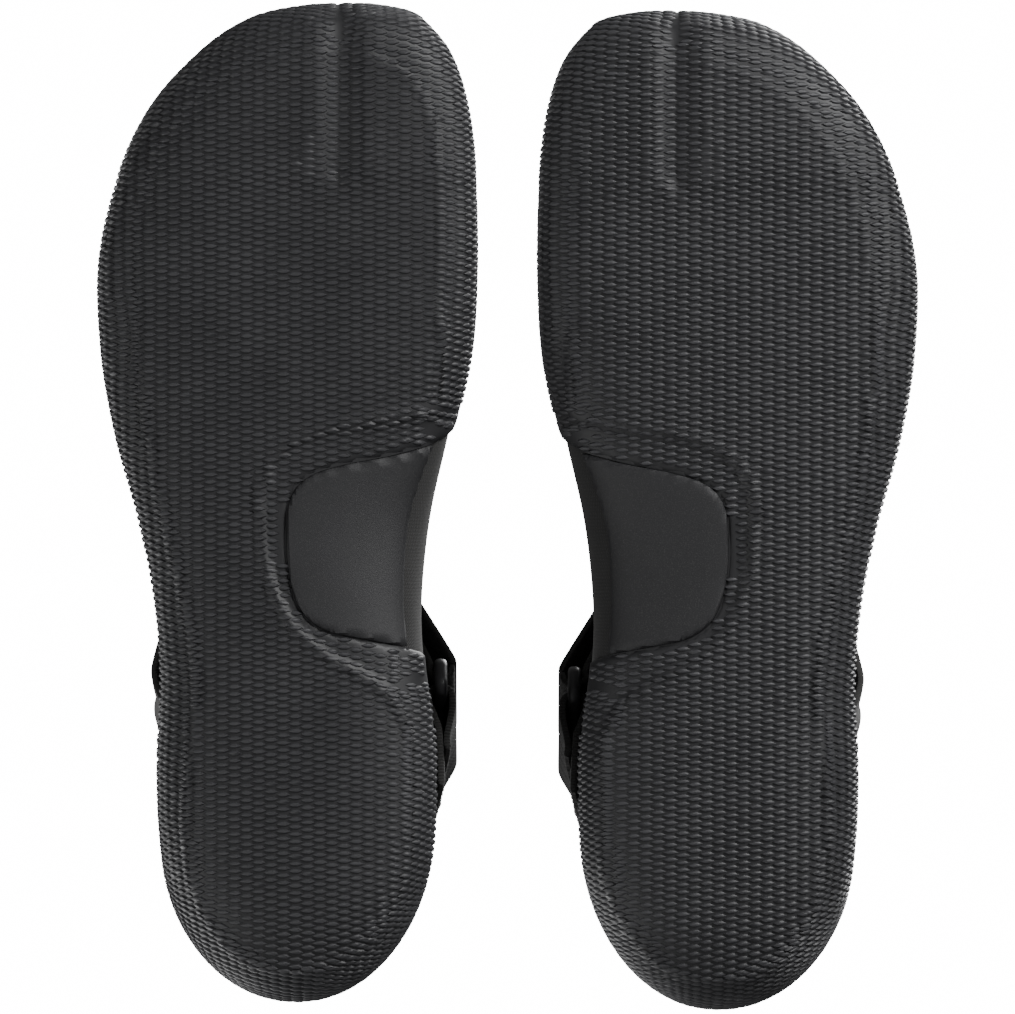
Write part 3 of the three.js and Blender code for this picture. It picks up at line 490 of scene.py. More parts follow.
low_tris = SKIN_TRIS[(Z[SKIN_TRIS] < 62).all(1)]
tread_skin = skin_p + skin_n * (WALL + TREAD_MORE * under + relief)[:, None]
tread_face = BVHTree.FromPolygons(tread_skin.tolist(), low_tris.tolist())
room = field[low_tris].mean(1)

# The tread is laid out flat, in rows of lugs, and wrapped up the walls outside the fold line.
PITCH, ROW_GAP, LUG_LENGTH, LUG_WIDTH, LUG_HEIGHT = 3.45, 2.09, 4.9, 1.6, 0.55
WALK, WALL_REACH, EDGE_MARGIN, APART = 0.6, 52, 1.3, 1.15
fold_t = unit(np.roll(FOLD, -1, 0) - np.roll(FOLD, 1, 0))
fold_out = np.stack([fold_t[:, 1], -fold_t[:, 0]], 1)
if ((FOLD - FOLD.mean(0)) * fold_out).sum(1).mean() < 0:
    fold_out = -fold_out
walls = []
for q, out, tan in zip(FOLD, fold_out, fold_t):
    p, n, k, _ = tread_face.find_nearest(Vector((q[1], -q[0] * grade, 0)))
    outward_way, tau = Vector((out[1], -out[0], 0)), Vector((tan[1], -tan[0], 0))
    trail = [(p, n, outward_way, k)]
    for _ in range(90):
        go = tau.cross(n)
        if go.dot(outward_way + Vector((0, 0, 0.3))) < 0:
            go = -go
        go.normalize()
        at, face, k, _ = tread_face.find_nearest(p + go * WALK)
        if (at - p).length < WALK / 2:
            break
        p, n = at, face
        trail.append((p, n, go, k))
    walls.append((trail, tau))


def tread_spots(lean):
    """Where lugs stand, with their outward and long directions. Each column is shifted by lean rows."""
    columns, rows = np.meshgrid(np.arange(-32, 33), np.arange(-30, 165), indexing="ij")
    u, w = ((rows + columns * lean % 1) * ROW_GAP).ravel(), (columns * PITCH).ravel()
    spots, taken = [], set()
    for u, w, d in sorted(zip(u, w, side_of(FOLD, u, w, closed=True)), key=lambda q: -q[2]):
        if d > 0:
            p, n, k, _ = tread_face.ray_cast(Vector((w, -u * grade, -20)), Vector((0, 0, 1)))
            long_way = Vector((1, 0, 0))
        elif d > -WALL_REACH:
            nearest = int(np.argmin((FOLD[:, 0] - u) ** 2 + (FOLD[:, 1] - w) ** 2))
            trail, tau = walls[nearest]
            m = int(-d / WALK)
            if m + 1 >= len(trail):
                continue
            (p0, _, g0, _), (p1, _, g1, _) = trail[m], trail[m + 1]
            f = -d / WALK - m
            t, out = fold_t[nearest], fold_out[nearest]
            aside = (u - FOLD[nearest, 0]) * t[0] + (w - FOLD[nearest, 1]) * t[1]
            p, n, k, _ = tread_face.find_nearest(p0.lerp(p1, f) + tau * aside)
            long_way = g0.lerp(g1, f) * out[1] + tau * t[1]
        else:
            break
        if p is None or room[k] < EDGE_MARGIN:
            continue
        cell_of = tuple(round(v / APART) for v in p)
        if cell_of not in taken:
            taken.add(cell_of)
            spots.append((tuple(p), tuple(n), tuple(long_way)))
    return np.array(spots)


rng = np.random.default_rng(7)
lug_outline = np.array([(-0.5, 0), (-0.17, -0.5), (0.17, -0.5), (0.5, 0), (0.17, 0.5), (-0.17, 0.5)])
lug_outline *= LUG_LENGTH, LUG_WIDTH
lug_top = LUG_HEIGHT * np.array([0.45, 0.85, 0.95, 0.8, 1.0, 0.9])
lug_verts = np.concatenate([
    np.column_stack([lug_outline, np.full(6, -0.2)]), np.column_stack([lug_outline * (0.72, 0.5), lug_top])])
lug_faces = [(0, 5, 4, 3, 2, 1), (6, 7, 8, 9, 10, 11)]
lug_faces += [(k, (k + 1) % 6, (k + 1) % 6 + 6, k + 6) for k in range(6)]


def rubber_grain(n, given):
    cloudy = n.noise(given["Place"], 0.035, 3.0, 0.6)
    tone = n.mix(n.span(cloudy, 0.35, 0.68), given["Dark"], given["Light"])
    specks = n.span(n.noise(given["Place"], given["Grain per mm"], 2.0, 0.6), 0.52, 0.74)
    colour = n.mix(n.times(specks, given["Dusting"]), tone, given["Dust"])
    fine = n.noise(given["Place"], given["Grain per mm"], 3.0, 0.65)
    return {"Color": colour, "Roughness": n.span(cloudy, 0.3, 0.7, 0.5, 0.62), "Height": fine}


grain = effect("Rubber grain", ("Dark", "Light", "Dust"), ("Grain per mm", "Dusting"),
               ("Color", "Roughness", "Height"), rubber_grain)
rubber = Paint("Sole rubber")
moulded = rubber.use(grain, Place=rubber.place(), Dark=(0.030, 0.030, 0.0332), Light=(0.042, 0.042, 0.0458),
                     Dust=(0.055, 0.054, 0.052), Grain_per_mm=2.6, Dusting=0.3)
# Painted shade: the base rubber and the feet of the lugs are painted darker than the lug tops, as shade
# between the lugs.
shade_lifts_up_lug = rubber.span(rubber.axes(rubber.place("cloth"))[1], 0.1, 0.9)
rubber.set(Base_Color=rubber.mix(shade_lifts_up_lug, (0.015, 0.015, 0.0165), moulded["Color"]),
           Roughness=moulded["Roughness"], Specular_IOR_Level=0.5)
rubber.bump(moulded["Height"], 0.04, 0.6)
treads = {}
for side, lean in (("right", 0.6), ("left", -0.6)):
    spots = tread_spots(lean)
    size = rng.uniform(0.92, 1.06, (len(spots), 3))
    lugs, lug_tris = scattered(*spots.transpose(1, 0, 2), size, (lug_verts, lug_faces), rubber.material)
    verts = np.concatenate([sole_base[0], lugs])
    verts[:, 2] = np.maximum(verts[:, 2], 0)
    # 1 on the lug tops and 0 on the lug feet and the base rubber, for the painted shade between the lugs.
    lug_rise_for_shade = np.r_[np.zeros(len(sole_base[0])), np.tile(np.repeat([0, 1], 6), len(spots))]
    across = np.r_[sole_base[2][:, 0], np.zeros(len(lugs))]
    tris = np.concatenate([sole_base[1], lug_tris + len(sole_base[0])])
    treads[side] = (verts, tris, np.column_stack([across, lug_rise_for_shade]))
pair("outsole", treads, rubber.material, sharp=72)

# ---- Arch panel ----
# A smooth piece of rubber let into the tread under the arch, with a fine sandy grain; it ends
# part of the way up the inner side, where the jersey of the upper shows.
PANEL_EDGE = curve([[70, 9], [103, 11.4], [132, 12.8], [159, 12.4], [185, 12]])


def coat(name, shared, attribute, roughness, depth, strength=1.0, sheen=0.0, **values):
    """A material of one shared effect, with a relief depth millimetres deep."""
    m = Paint(name)
    made = m.use(shared, Place=m.place(attribute), **values)
    m.set(Base_Color=made["Color"], Roughness=roughness, Sheen_Weight=sheen)
    m.bump(made["Height"], depth, strength)
    return m.material


sandy = coat("Arch rubber", grain, None, 0.62, 0.10, 0.8, Dark=(0.0118, 0.0118, 0.0132),
             Light=(0.0152, 0.0152, 0.0170), Dust=(0.056, 0.055, 0.054), Grain_per_mm=3.2, Dusting=0.55)
up_the_side = np.where(W > 0, -side_of(PANEL_EDGE, U, Z), 40)
*panel, panel_under = clipped(np.where(Z < 40, np.minimum(d_arch - 0.05, up_the_side), -5), under)
panel = slab(panel, 1.25 + 1.7 * panel_under, 0.3 + 1.4 * panel_under, edge=0.8)
pair("arch_panel", panel, sandy)

# ---- Midsole board ----
# A felted board glued under the upper; only its edge shows, through the rubber.


def brushed_nap(n, given):
    clumped = n.node("ShaderNodeTexVoronoi", {"Vector": given["Place"], "Scale": given["Clumps per mm"]})
    hairs = n.noise(given["Place"], 4.0, 3.0, 0.6)
    both = n.add(clumped.outputs["Distance"], n.times(hairs, 0.6))
    return {"Color": n.mix(n.span(both, 0.2, 1.1), given["Dark"], given["Light"]), "Height": both}


nap = effect("Brushed nap", ("Dark", "Light"), ("Clumps per mm",), ("Color", "Height"), brushed_nap)
felt = coat("Board felt", nap, None, 0.95, 0.1, Dark=(0.045, 0.043, 0.038), Light=(0.09, 0.085, 0.075),
            Clumps_per_mm=1.2)
board = clipped(np.where((Z < 14) & (skin_n[:, 2] < 0.2), d_board, -5))
groove = bump_at(board[0][:, 0], TOE_SPLIT, 4.5) * soft_step(-board[0][:, 1], 225, 234)
pair("midsole_board", slab(board, 1.5 - 0.5 * groove, 0.3), felt)

# ---- Insole ----
# A 3 mm cushioned insole lies loose on the board, with a flat top and light quilting in its cloth.


def jersey_knit(n, given):
    x, y, _ = n.axes(given["Place"])
    wales, courses = n.wave(x, given["Wale pitch"]), n.wave(y, given["Course pitch"])
    loops = n.times(wales, courses)
    fuzz = n.noise(given["Place"], 3.5, 3.0, 0.6)
    worn = n.noise(given["Place"], 0.03, 3.0, 0.6)
    tone = n.mix(n.span(worn, 0.3, 0.7), given["Dark"], given["Light"])
    tone = n.mix(n.times(n.span(fuzz, 0.5, 0.78), 0.5), tone, given["Fuzz"])
    # Painted shade: the hollows between the knit's loops are painted darker, towards the dark colour.
    colour = n.mix(n.times(n.math("SUBTRACT", 1.0, loops), 0.4), tone, given["Dark"])
    return {"Color": colour, "Height": n.add(n.times(loops, 0.8), fuzz)}


knit = effect("Jersey knit", ("Dark", "Light", "Fuzz"), ("Wale pitch", "Course pitch"),
              ("Color", "Height"), jersey_knit)
lining = coat("Insole jersey", knit, None, 0.95, 0.15, sheen=0.1, Dark=(0.018, 0.018, 0.020),
              Light=(0.030, 0.030, 0.032), Fuzz=(0.05, 0.05, 0.052), Wale_pitch=1.3, Course_pitch=1.5)
INSIDE, INSOLE_TOP = 3.4, 9.7
inside_z = Z - skin_n[:, 2] * INSIDE
p, n, c, f, faces = clipped(np.where(Z < 40, INSOLE_TOP - inside_z, -5))
low = p - n * INSIDE
quilt = 0.25 * np.abs(np.sin(low[:, 0] / 7)) * np.abs(np.sin(low[:, 1] / 7))
top = np.column_stack([low[:, :2], INSOLE_TOP + 0.1 + np.minimum(quilt, f * 0.3)])
pair("insole", sealed(low, top, c, faces), lining, sharp=35)

# ---- Neoprene upper ----
# Five panels of 3 mm foam with knitted jersey on both faces, glued and blind-stitched edge to edge,
# so each panel's edge rounds down to the seam.
VAMP_SEAM = curve([[194, -5], [181, 18], [166, 42], [150, 66], [138, 92], [132, 112]])
GUSSET_SEAM = curve([[172, 34], [140, 60], [116, 84], [101, 112], [95, 140], [92, 168]])
CUFF_SEAM = curve([[-20, 149], [40, 149], [90, 153], [150, 160]])


def longer(line, before, after):
    """A line with its first and last steps carried on, so many times over."""
    a, b = line[0] + (line[0] - line[1]) * before, line[-1] + (line[-1] - line[-2]) * after
    return np.concatenate([[a], line, [b]])


in_front = -side_of(longer(VAMP_SEAM, 20, 60), U, Z)
before_gusset = -side_of(longer(GUSSET_SEAM, 12, 20), U, Z)
above_cuff = side_of(CUFF_SEAM, U, Z)
HEIGHT, NEOPRENE = 194.8, 3.0
over_sole, to_top = Z - 6.2, HEIGHT - Z
neoprene, grey_neoprene = (
    coat(name, knit, "cloth", 0.92, 0.16, 0.8, sheen=0.08, Dark=dark, Light=light, Fuzz=warm,
         Wale_pitch=0.75, Course_pitch=1.0)
    for name, dark, light, warm in (
        ("Black neoprene", (0.0165, 0.0163, 0.0162), (0.0285, 0.0282, 0.0278), (0.070, 0.067, 0.062)),
        ("Grey neoprene", (0.030, 0.030, 0.033), (0.044, 0.044, 0.048), (0.08, 0.077, 0.072))))
quarter = np.minimum.reduce([-in_front, -before_gusset, -above_cuff, over_sole])
for piece, field, paint, slot in (
        ("vamp", np.minimum.reduce([in_front, over_sole, to_top]), neoprene, "neoprene"),
        ("gusset", np.minimum.reduce([-in_front, before_gusset, -above_cuff, over_sole]), grey_neoprene,
         "neoprene_grey"),
        ("medial_quarter", np.minimum(quarter, W - 0.02), neoprene, "neoprene"),
        ("lateral_quarter", np.minimum(quarter, -W - 0.02), neoprene, "neoprene"),
        ("cuff_panel", np.minimum.reduce([-in_front, above_cuff, to_top]), neoprene, "neoprene")):
    part = clipped(field - 0.05)
    p, f = part[0], part[3]
    hollows = 0.25 * np.sin(p[:, 2] * 0.19 + p[:, 0] * 0.05) * np.sin(p[:, 1] * 0.11) * soft_step(f, 2, 14)
    hollows *= soft_step(p[:, 2], 50, 90)
    pair(piece, slab(part, np.minimum(hollows, 0), -NEOPRENE, edge=1.0), paint, sharp=50)

# ---- Seam thread ----
# Flat stitches bridge each seam of the upper, pulled a little into the foam.
STITCH = 2.4
thread = Paint("Seam thread")
_, thread_y, thread_z = thread.axes(thread.place())
# Painted highlight and shade: the thread is painted lighter on the crests of its strands and darker in the
# grooves between them.
strands = thread.wave(thread.add(thread_z, thread_y), 0.5)
thread.set(Base_Color=thread.mix(strands, (0.026, 0.026, 0.028), (0.044, 0.044, 0.047)), Roughness=0.7,
           Sheen_Weight=0.1)
thread.bump(strands, 0.05)


def stitches_along(field, other):
    """Where the skin crosses field = 0 and other is over zero: places, outward and crosswise directions."""
    inside = field[SKIN_TRIS] > 0
    found, facing, along = [], [], []
    for tri in SKIN_TRIS[(inside.sum(1) % 3 != 0) & (other[SKIN_TRIS] > 0.8).all(1)]:
        ends = []
        for i, j in ((tri[0], tri[1]), (tri[1], tri[2]), (tri[2], tri[0])):
            if (field[i] > 0) != (field[j] > 0):
                f = field[i] / (field[i] - field[j])
                ends.append(skin_p[i] * (1 - f) + skin_p[j] * f)
                facing.append(skin_n[i] * (1 - f) + skin_n[j] * f)
        found += ends
        along += [ends[1] - ends[0]] * 2
    found = np.array(found)
    kept, left = [int(np.argmax(found[:, 2]))], np.ones(len(found), bool)
    while True:
        d = np.linalg.norm(found - found[kept[-1]], axis=1)
        left &= d > STITCH * 0.97
        if not left.any():
            break
        kept.append(int(np.argmin(np.where(left, d, 1e9))))
    n, t = unit(np.array(facing)[kept]), unit(np.array(along)[kept])
    return found[kept], n, np.cross(n, t)


ring = np.array([(math.cos(a), math.sin(a)) for a in np.arange(8) * math.pi / 4])
bar_verts = np.array([
    (x, y * 0.42 * r, z * 0.3 * r)
    for x, r in ((-1.5, 0.35), (-1.1, 0.9), (0, 1), (1.1, 0.9), (1.5, 0.35)) for y, z in ring])
bar_faces = [tuple(range(7, -1, -1)), tuple(range(32, 40))]
bar_faces += [(8 * k + i, 8 * k + (i + 1) % 8, 8 * k + 8 + (i + 1) % 8, 8 * k + 8 + i)
              for k in range(4) for i in range(8)]
clear_of_rubber = np.where(d_rubber < -2.2, 5, -5)
behind_vamp = -in_front - 1.5
lines = [
    stitches_along(in_front, np.minimum(np.where(to_top > 13, 5, -5), clear_of_rubber)),
    stitches_along(before_gusset, np.minimum.reduce([behind_vamp, -above_cuff - 1.0, clear_of_rubber])),
    stitches_along(above_cuff, np.minimum(behind_vamp, np.where((np.abs(W) < 12) & (U < 60), -5, 5))),
]
at, facing, crosswise = (np.concatenate([line[k] for line in lines]) for k in range(3))
sizes = np.random.default_rng(3).uniform(0.92, 1.05, (len(at), 3))
threads = scattered(at - facing * 0.28, facing, crosswise, sizes, (bar_verts, bar_faces), thread.material)
pair("seam_thread", threads, thread.material, added=True)

# ---- Seam tape ----
# Inside, a stretch tape is bonded over the long seam between the vamp and the shaft.


def woven(n, given):
    x, y, _ = n.axes(given["Place"])
    picks, ends = n.wave(x, given["Pick pitch"]), n.wave(y, given["End pitch"])
    ribs = n.wave(y, given["Rib pitch"])
    basket = n.math("ABSOLUTE", n.math("SUBTRACT", picks, ends))
    tone = n.mix(n.span(n.noise(given["Place"], 0.15, 2.0), 0.3, 0.7), given["Dark"], given["Light"])
    shade = n.times(n.add(basket, ribs), 0.25)
    fibres = n.times(n.noise(given["Place"], 4.0, 3.0), 0.5)
    height = n.add(n.add(basket, n.times(ribs, 1.2)), fibres)
    return {"Color": n.mix(shade, tone, given["Light"]), "Height": height}


weave = effect("Weave", ("Dark", "Light"), ("Pick pitch", "End pitch", "Rib pitch"), ("Color", "Height"),
               woven)
tape = coat("Bonded tape", weave, "cloth", 0.85, 0.07, Dark=(0.022, 0.022, 0.024),
            Light=(0.040, 0.040, 0.043), Pick_pitch=0.9, End_pitch=0.9, Rib_pitch=2.6)
tape_field = np.minimum.reduce([5.5 - np.abs(in_front), Z - 12, to_top - 12])
pair("seam_tape", slab(clipped(tape_field), -3.3, -3.8), tape)

# ---- Toe divider ----
# A thin wall of neoprene stands inside between the big toe and the others.
DIVIDER_AT, DIVIDER_FOOT, HALF_THICK, CLEAR = 12, 10.1, 1.0, 3.7
skin_tree = BVHTree.FromPolygons(skin_p.tolist(), SKIN_TRIS.tolist())
crest = []
for u in np.linspace(233, 276, 24):
    roof = skin_tree.ray_cast(Vector((DIVIDER_AT, -u * grade, 15)), Vector((0, 0, 1)))[0]
    if roof is None or roof.z < 14.6:
        break
    crest.append((u, roof.z - CLEAR))


def outward(verts, tris, *more):
    """The same closed solid with its triangles facing out."""
    a, b, c = (verts[tris[:, k]] - verts.mean(0) for k in range(3))
    return verts, tris if (a * np.cross(b, c)).sum() > 0 else tris[:, ::-1], *more


def strip(low, high):
    """A closed strip of cloth between two grids of points."""
    rows, cols = low.shape[:2]
    index = np.arange(rows * cols).reshape(rows, cols)
    top = index + rows * cols
    under_cells, over_cells = (
        np.stack([g[:-1, :-1], g[1:, :-1], g[1:, 1:], g[:-1, 1:]], -1).reshape(-1, 4) for g in (index, top))
    loop = np.r_[index[0], index[1:, -1], index[-1, -2::-1], index[-2:0:-1, 0]]
    over = loop + rows * cols
    side = np.stack([loop, np.roll(loop, -1), np.roll(over, -1), over], 1)
    quads = np.concatenate([under_cells, over_cells[:, ::-1], side])
    tris = np.concatenate([quads[:, [0, 1, 2]], quads[:, [0, 2, 3]]])
    return outward(np.concatenate([low.reshape(-1, 3), high.reshape(-1, 3)]), tris)


sides = [[[(DIVIDER_AT + half, -u * grade, z) for z in (DIVIDER_FOOT, roof)] for u, roof in crest]
         for half in (-HALF_THICK, HALF_THICK)]
pair("toe_divider", strip(*np.array(sides)), neoprene)

# ---- Back tape ----
# Webbing-like stretch tape covers the seam up the back of the heel.
back_field = np.where(U < 60, np.minimum.reduce([11 - np.abs(W), Z - 56, 183.5 - Z]), -5)
pair("back_tape", slab(clipped(back_field), 1.5, 0.3, edge=0.8), tape)

# ---- Cuff binding ----
# A folded stretch binding over the raw top edge, outside, over and inside.
profile = [(0.35, 183.8), (1.15, 184.1), (1.25, 185), (1.2, 194.5), (0.7, 195.7), (-1.6, 196.1),
           (-3.6, 195.7), (-4.15, 194.4), (-4.15, 185), (-4.0, 184.0), (-3.35, 183.8), (-3.3, 195.0),
           (0.3, 195.0)]


def hoop(rows, columns):
    """Triangles of a grid of points that is closed both ways."""
    a = np.arange(rows * columns).reshape(rows, columns)
    b = np.roll(a, -1, 1)
    c, d = np.roll(b, -1, 0), np.roll(a, -1, 0)
    return np.stack([a, b, c, a, c, d], -1).reshape(-1, 3)


verts, places = [], []
upper = slice(ROWS * 3 // 4, None)
for j in range(AROUND):
    for off, z in profile:
        at, face = (at_lengths(z, SKIN[upper, j, 2], grid[upper, j, :2]) for grid in (SKIN, NORMAL))
        verts.append((*(at + unit(face) * off), z))
        places.append((CLOTH[ROWS * 5 // 6, j, 0], z))
binding = Paint("Stretch binding")
round_x, round_y, _ = binding.axes(binding.place("cloth"))
turned = binding.node("ShaderNodeCombineXYZ", {0: round_y, 1: round_x}).outputs[0]
elastic = binding.use(weave, Place=turned, Dark=(0.015, 0.015, 0.017), Light=(0.026, 0.026, 0.028),
                      Pick_pitch=0.8, End_pitch=0.8, Rib_pitch=1.5)
binding.set(Base_Color=elastic["Color"], Roughness=0.8, Sheen_Weight=0.1)
binding.bump(elastic["Height"], 0.1)
pair("cuff_binding", outward(np.array(verts), hoop(AROUND, len(profile)), np.array(places)), binding.material,
     sharp=50)

# ---- Instep strap ----
# Nylon webbing sewn behind the outer ankle crosses over the instep, turns back round the front bar
# of the ring and closes on itself with hook and pile.
STRAP_WIDTH, STRAP_THICK, TILT = 30, 1.8, math.radians(38)
ALONG, ACROSS = np.array([0, -math.cos(TILT), math.sin(TILT)]), np.array([0, math.sin(TILT), math.cos(TILT)])
STRAP_AT = np.array([0, -82 * grade, 75.0])
height = (SKIN - STRAP_AT) @ ACROSS


def section(b):
    """The skin's outline in the plane across the strap at b: (p, w) from the outer ankle to the inner,
    its arc length from the ridge and its outward direction."""
    points = []
    for j in range(AROUND - 20, 19, -1):
        column = height[5:, j] - b
        i = 5 + int(np.argmax(column > 0)) - 1
        f = (height[i, j] - b) / (height[i, j] - height[i + 1, j])
        at = SKIN[i, j] * (1 - f) + SKIN[i + 1, j] * f - STRAP_AT
        points.append((at @ ALONG, at[0]))
    points = np.array(points)
    s = arc_length(points)
    s -= s[AROUND - 20 - AROUND // 2]
    t = np.gradient(points, s, axis=0)
    t = np.stack([np.convolve(np.pad(t[:, k], 4, "edge"), np.ones(9) / 9, "valid") for k in range(2)], 1)
    t = unit(t)
    return points, s, np.stack([t[:, 1], -t[:, 0]], 1)


def run(sec, start, end, off, count):
    """The section's outline between two arc lengths, off it by a distance or a function of arc length."""
    points, s, out = sec
    at = np.linspace(start, end, count)
    far = off(at) if callable(off) else off
    return at_lengths(at, s, points) + at_lengths(at, s, out) * np.broadcast_to(far, count)[:, None]


def arc_at(sec, p):
    """Arc length where the section passes p on the inner side."""
    points, s, _ = sec
    inner = s > 0
    return np.interp(-p, -points[inner, 0], s[inner])


def around_bar(p, radius, start, end, count):
    """An arc round one bar of the ring, from start to end in degrees."""
    a = np.radians(np.linspace(start, end, count))
    return np.stack([p + radius * np.cos(a), RING_W + radius * np.sin(a)], 1)


def to_the_left(line):
    t = unit(np.gradient(line, axis=0))
    return np.stack([-t[:, 1], t[:, 0]], 1)


def band(width, thick, line, columns=13):
    """A strip of cloth from lines across the sections: points, triangles and cloth places."""
    r = 0.5 * thick / 2
    inner = np.linspace(-width / 2 + r, width / 2 - r, columns)
    bs = np.r_[-width / 2, -width / 2 + r * 0.3, inner, width / 2 - r * 0.3, width / 2]
    full = np.clip((width / 2 - np.abs(bs)) / r, 0, 1)
    half = thick / 2 * (0.5 + 0.5 * np.sqrt(1 - (1 - full) ** 2))
    lines = [line(section(b)) for b in bs]
    n = int(max(arc_length(q)[-1] for q in lines)) + 2
    layers, places = ([], []), []
    for b, h, q in zip(bs, half, lines):
        s = arc_length(q)
        at = np.linspace(0, s[-1], n)
        q = at_lengths(at, s, q)
        ends = np.clip(np.minimum(at, s[-1] - at) / r, 0, 1)
        h = h * (0.5 + 0.5 * np.sqrt(1 - (1 - ends) ** 2))
        for layer, sign in zip(layers, (-1, 1)):
            pw = q + to_the_left(q) * (h * sign)[:, None]
            layer.append(STRAP_AT + pw[:, :1] * ALONG + b * ACROSS + np.stack([pw[:, 1], 0 * at, 0 * at], 1))
        places.append(np.stack([at, np.full(n, b)], 1))
    return *strip(*np.array(layers)), np.concatenate(places * 2)


web = coat("Strap webbing", weave, "cloth", 0.88, 0.16, 0.9, sheen=0.1, Dark=(0.014, 0.014, 0.0135),
           Light=(0.030, 0.029, 0.028), Pick_pitch=1.12, End_pitch=1.5, Rib_pitch=3.9)
RING_W, BAR_AT, TURN, ON_BOOT = 40.8, 4.55, 3.3, 1.4
TAIL_OFF, PILE_OFF, HOOK_OFF, SLACK = 6.2, 3.15, 4.6, 6.2


def strap_off(s):
    slack = SLACK * soft_step(s, -82, -62) * (1 - soft_step(s, -54, -34))
    return ON_BOOT + 1.2 * (1 - soft_step(s, -84, -76)) + slack


def strap_line(sec):
    first = run(sec, -92, arc_at(sec, 24), strap_off, 160)
    last = run(sec, arc_at(sec, 24), arc_at(sec, 21), ON_BOOT, 2)
    turn = curve([*last, (BAR_AT + 3, RING_W - TURN - 0.1), (BAR_AT, RING_W - TURN)], per=10)
    bar = around_bar(BAR_AT, TURN, -90, -270, 30)
    return np.concatenate([first[:-1], turn[:-1], bar, [(BAR_AT + 1.2, RING_W + TURN)]])


def tail_line(sec):
    over = run(sec, arc_at(sec, 25), arc_at(sec, 27), TAIL_OFF, 2)
    lead = curve([(BAR_AT + 1.5, RING_W + TURN), (BAR_AT + 4.5, RING_W + TURN - 0.3), *over], per=10)
    return np.concatenate([lead[:-1], run(sec, arc_at(sec, 28), 6, TAIL_OFF, 60)])


fold = STRAP_AT + (BAR_AT + 1.5) * ALONG + np.array([RING_W + TURN, 0, 0])
pair("ankle_strap", band(STRAP_WIDTH, STRAP_THICK, strap_line), web)
foot_patch = band(STRAP_WIDTH + 8, 0.9, lambda sec: run(sec, -96, -78, 0.95, 30), columns=9)
pair("strap_patch", foot_patch, tape)
pair("strap_tail", band(STRAP_WIDTH, STRAP_THICK, tail_line), web, body="tail",
     bend=(fold, fold + ALONG * 4))
plush = coat("Pile", nap, "cloth", 0.98, 0.3, sheen=0.3, Dark=(0.004, 0.004, 0.004),
             Light=(0.020, 0.020, 0.019), Clumps_per_mm=1.5)
pair("strap_pile", band(STRAP_WIDTH - 2, 1.1, lambda sec: run(sec, -12, 50, PILE_OFF, 80)), plush)
hooked = coat("Hook", nap, "cloth", 0.55, 0.15, Dark=(0.006, 0.006, 0.006), Light=(0.022, 0.022, 0.022),
              Clumps_per_mm=0.8)
hook = band(STRAP_WIDTH - 4, 0.7, lambda sec: run(sec, 32, 8, HOOK_OFF, 40))
pair("strap_hook", hook, hooked, body="tail")

# ---- Strap thread ----
# The strap's foot and the ring's tab are each sewn down with a box of short stitches.
box_stitch = bar_verts * (0.62, 1, 1)


def sewn_box(starts, ends, half_width, off):
    """Stitch places round a box on the boot, from arc length starts(b) to ends(b)."""
    places = []
    for b in np.arange(-half_width, half_width + 0.1, 2 * half_width / 11):
        sec = section(b)
        places += [(sec, starts(sec), b, True), (sec, ends(sec), b, True)]
    for b in (-half_width, half_width):
        sec = section(b)
        places += [(sec, s_at, b, False) for s_at in np.linspace(starts(sec), ends(sec), 6)[1:-1]]
    at, facing, lengthwise = [], [], []
    for (points, s, out), s_at, b, crosswise in places:
        p, w = at_lengths(s_at, s, points)
        n = unit(at_lengths(s_at, s, out))
        face = n[0] * ALONG + np.array([n[1], 0, 0])
        at.append(STRAP_AT + p * ALONG + b * ACROSS + np.array([w, 0, 0]) + face * off(s_at))
        facing.append(face)
        lengthwise.append(ACROSS if crosswise else np.cross(ACROSS, face))
    return np.array(at), np.array(facing), np.array(lengthwise)


boxes = [
    sewn_box(lambda sec: -89.5, lambda sec: -82, 12.5, lambda s: strap_off(s) + 0.95),
    sewn_box(lambda sec: arc_at(sec, -35), lambda sec: arc_at(sec, -27.5), 11.5, lambda s: 4.85),
]
at, facing, lengthwise = (np.concatenate([box[k] for box in boxes]) for k in range(3))
sewing = scattered(at, facing, lengthwise, np.ones((len(at), 3)), (box_stitch, bar_faces), thread.material)
pair("strap_thread", sewing, thread.material, added=True)

# ---- Ring ----
# A moulded plastic ring with two rounded bars; the tab holds the rear one.
plastic = Paint("Ring plastic")
shell = plastic.use(grain, Place=plastic.place(), Dark=(0.019, 0.019, 0.021), Light=(0.025, 0.025, 0.027),
                    Dust=(0.05, 0.05, 0.05), Grain_per_mm=4.0, Dusting=0.15)
scuffs = plastic.noise(plastic.place(), 0.9, 4.0, 0.7)
plastic.set(Base_Color=shell["Color"], Roughness=plastic.span(scuffs, 0.35, 0.7, 0.3, 0.5))
plastic.bump(shell["Height"], 0.02, 0.5)
BAR, WINDOW_B, HALF_P, CORNER, BAR_STEPS = 3.9, 15.5, 6.5, 2.2, 20
corner_p, corner_b = HALF_P - BAR / 2 - CORNER, WINDOW_B + BAR / 2 - CORNER


def squared(v):
    """A circle's cosine or sine, made the bar's squarer section."""
    return abs(v) ** 0.75 * np.sign(v) * BAR / 2


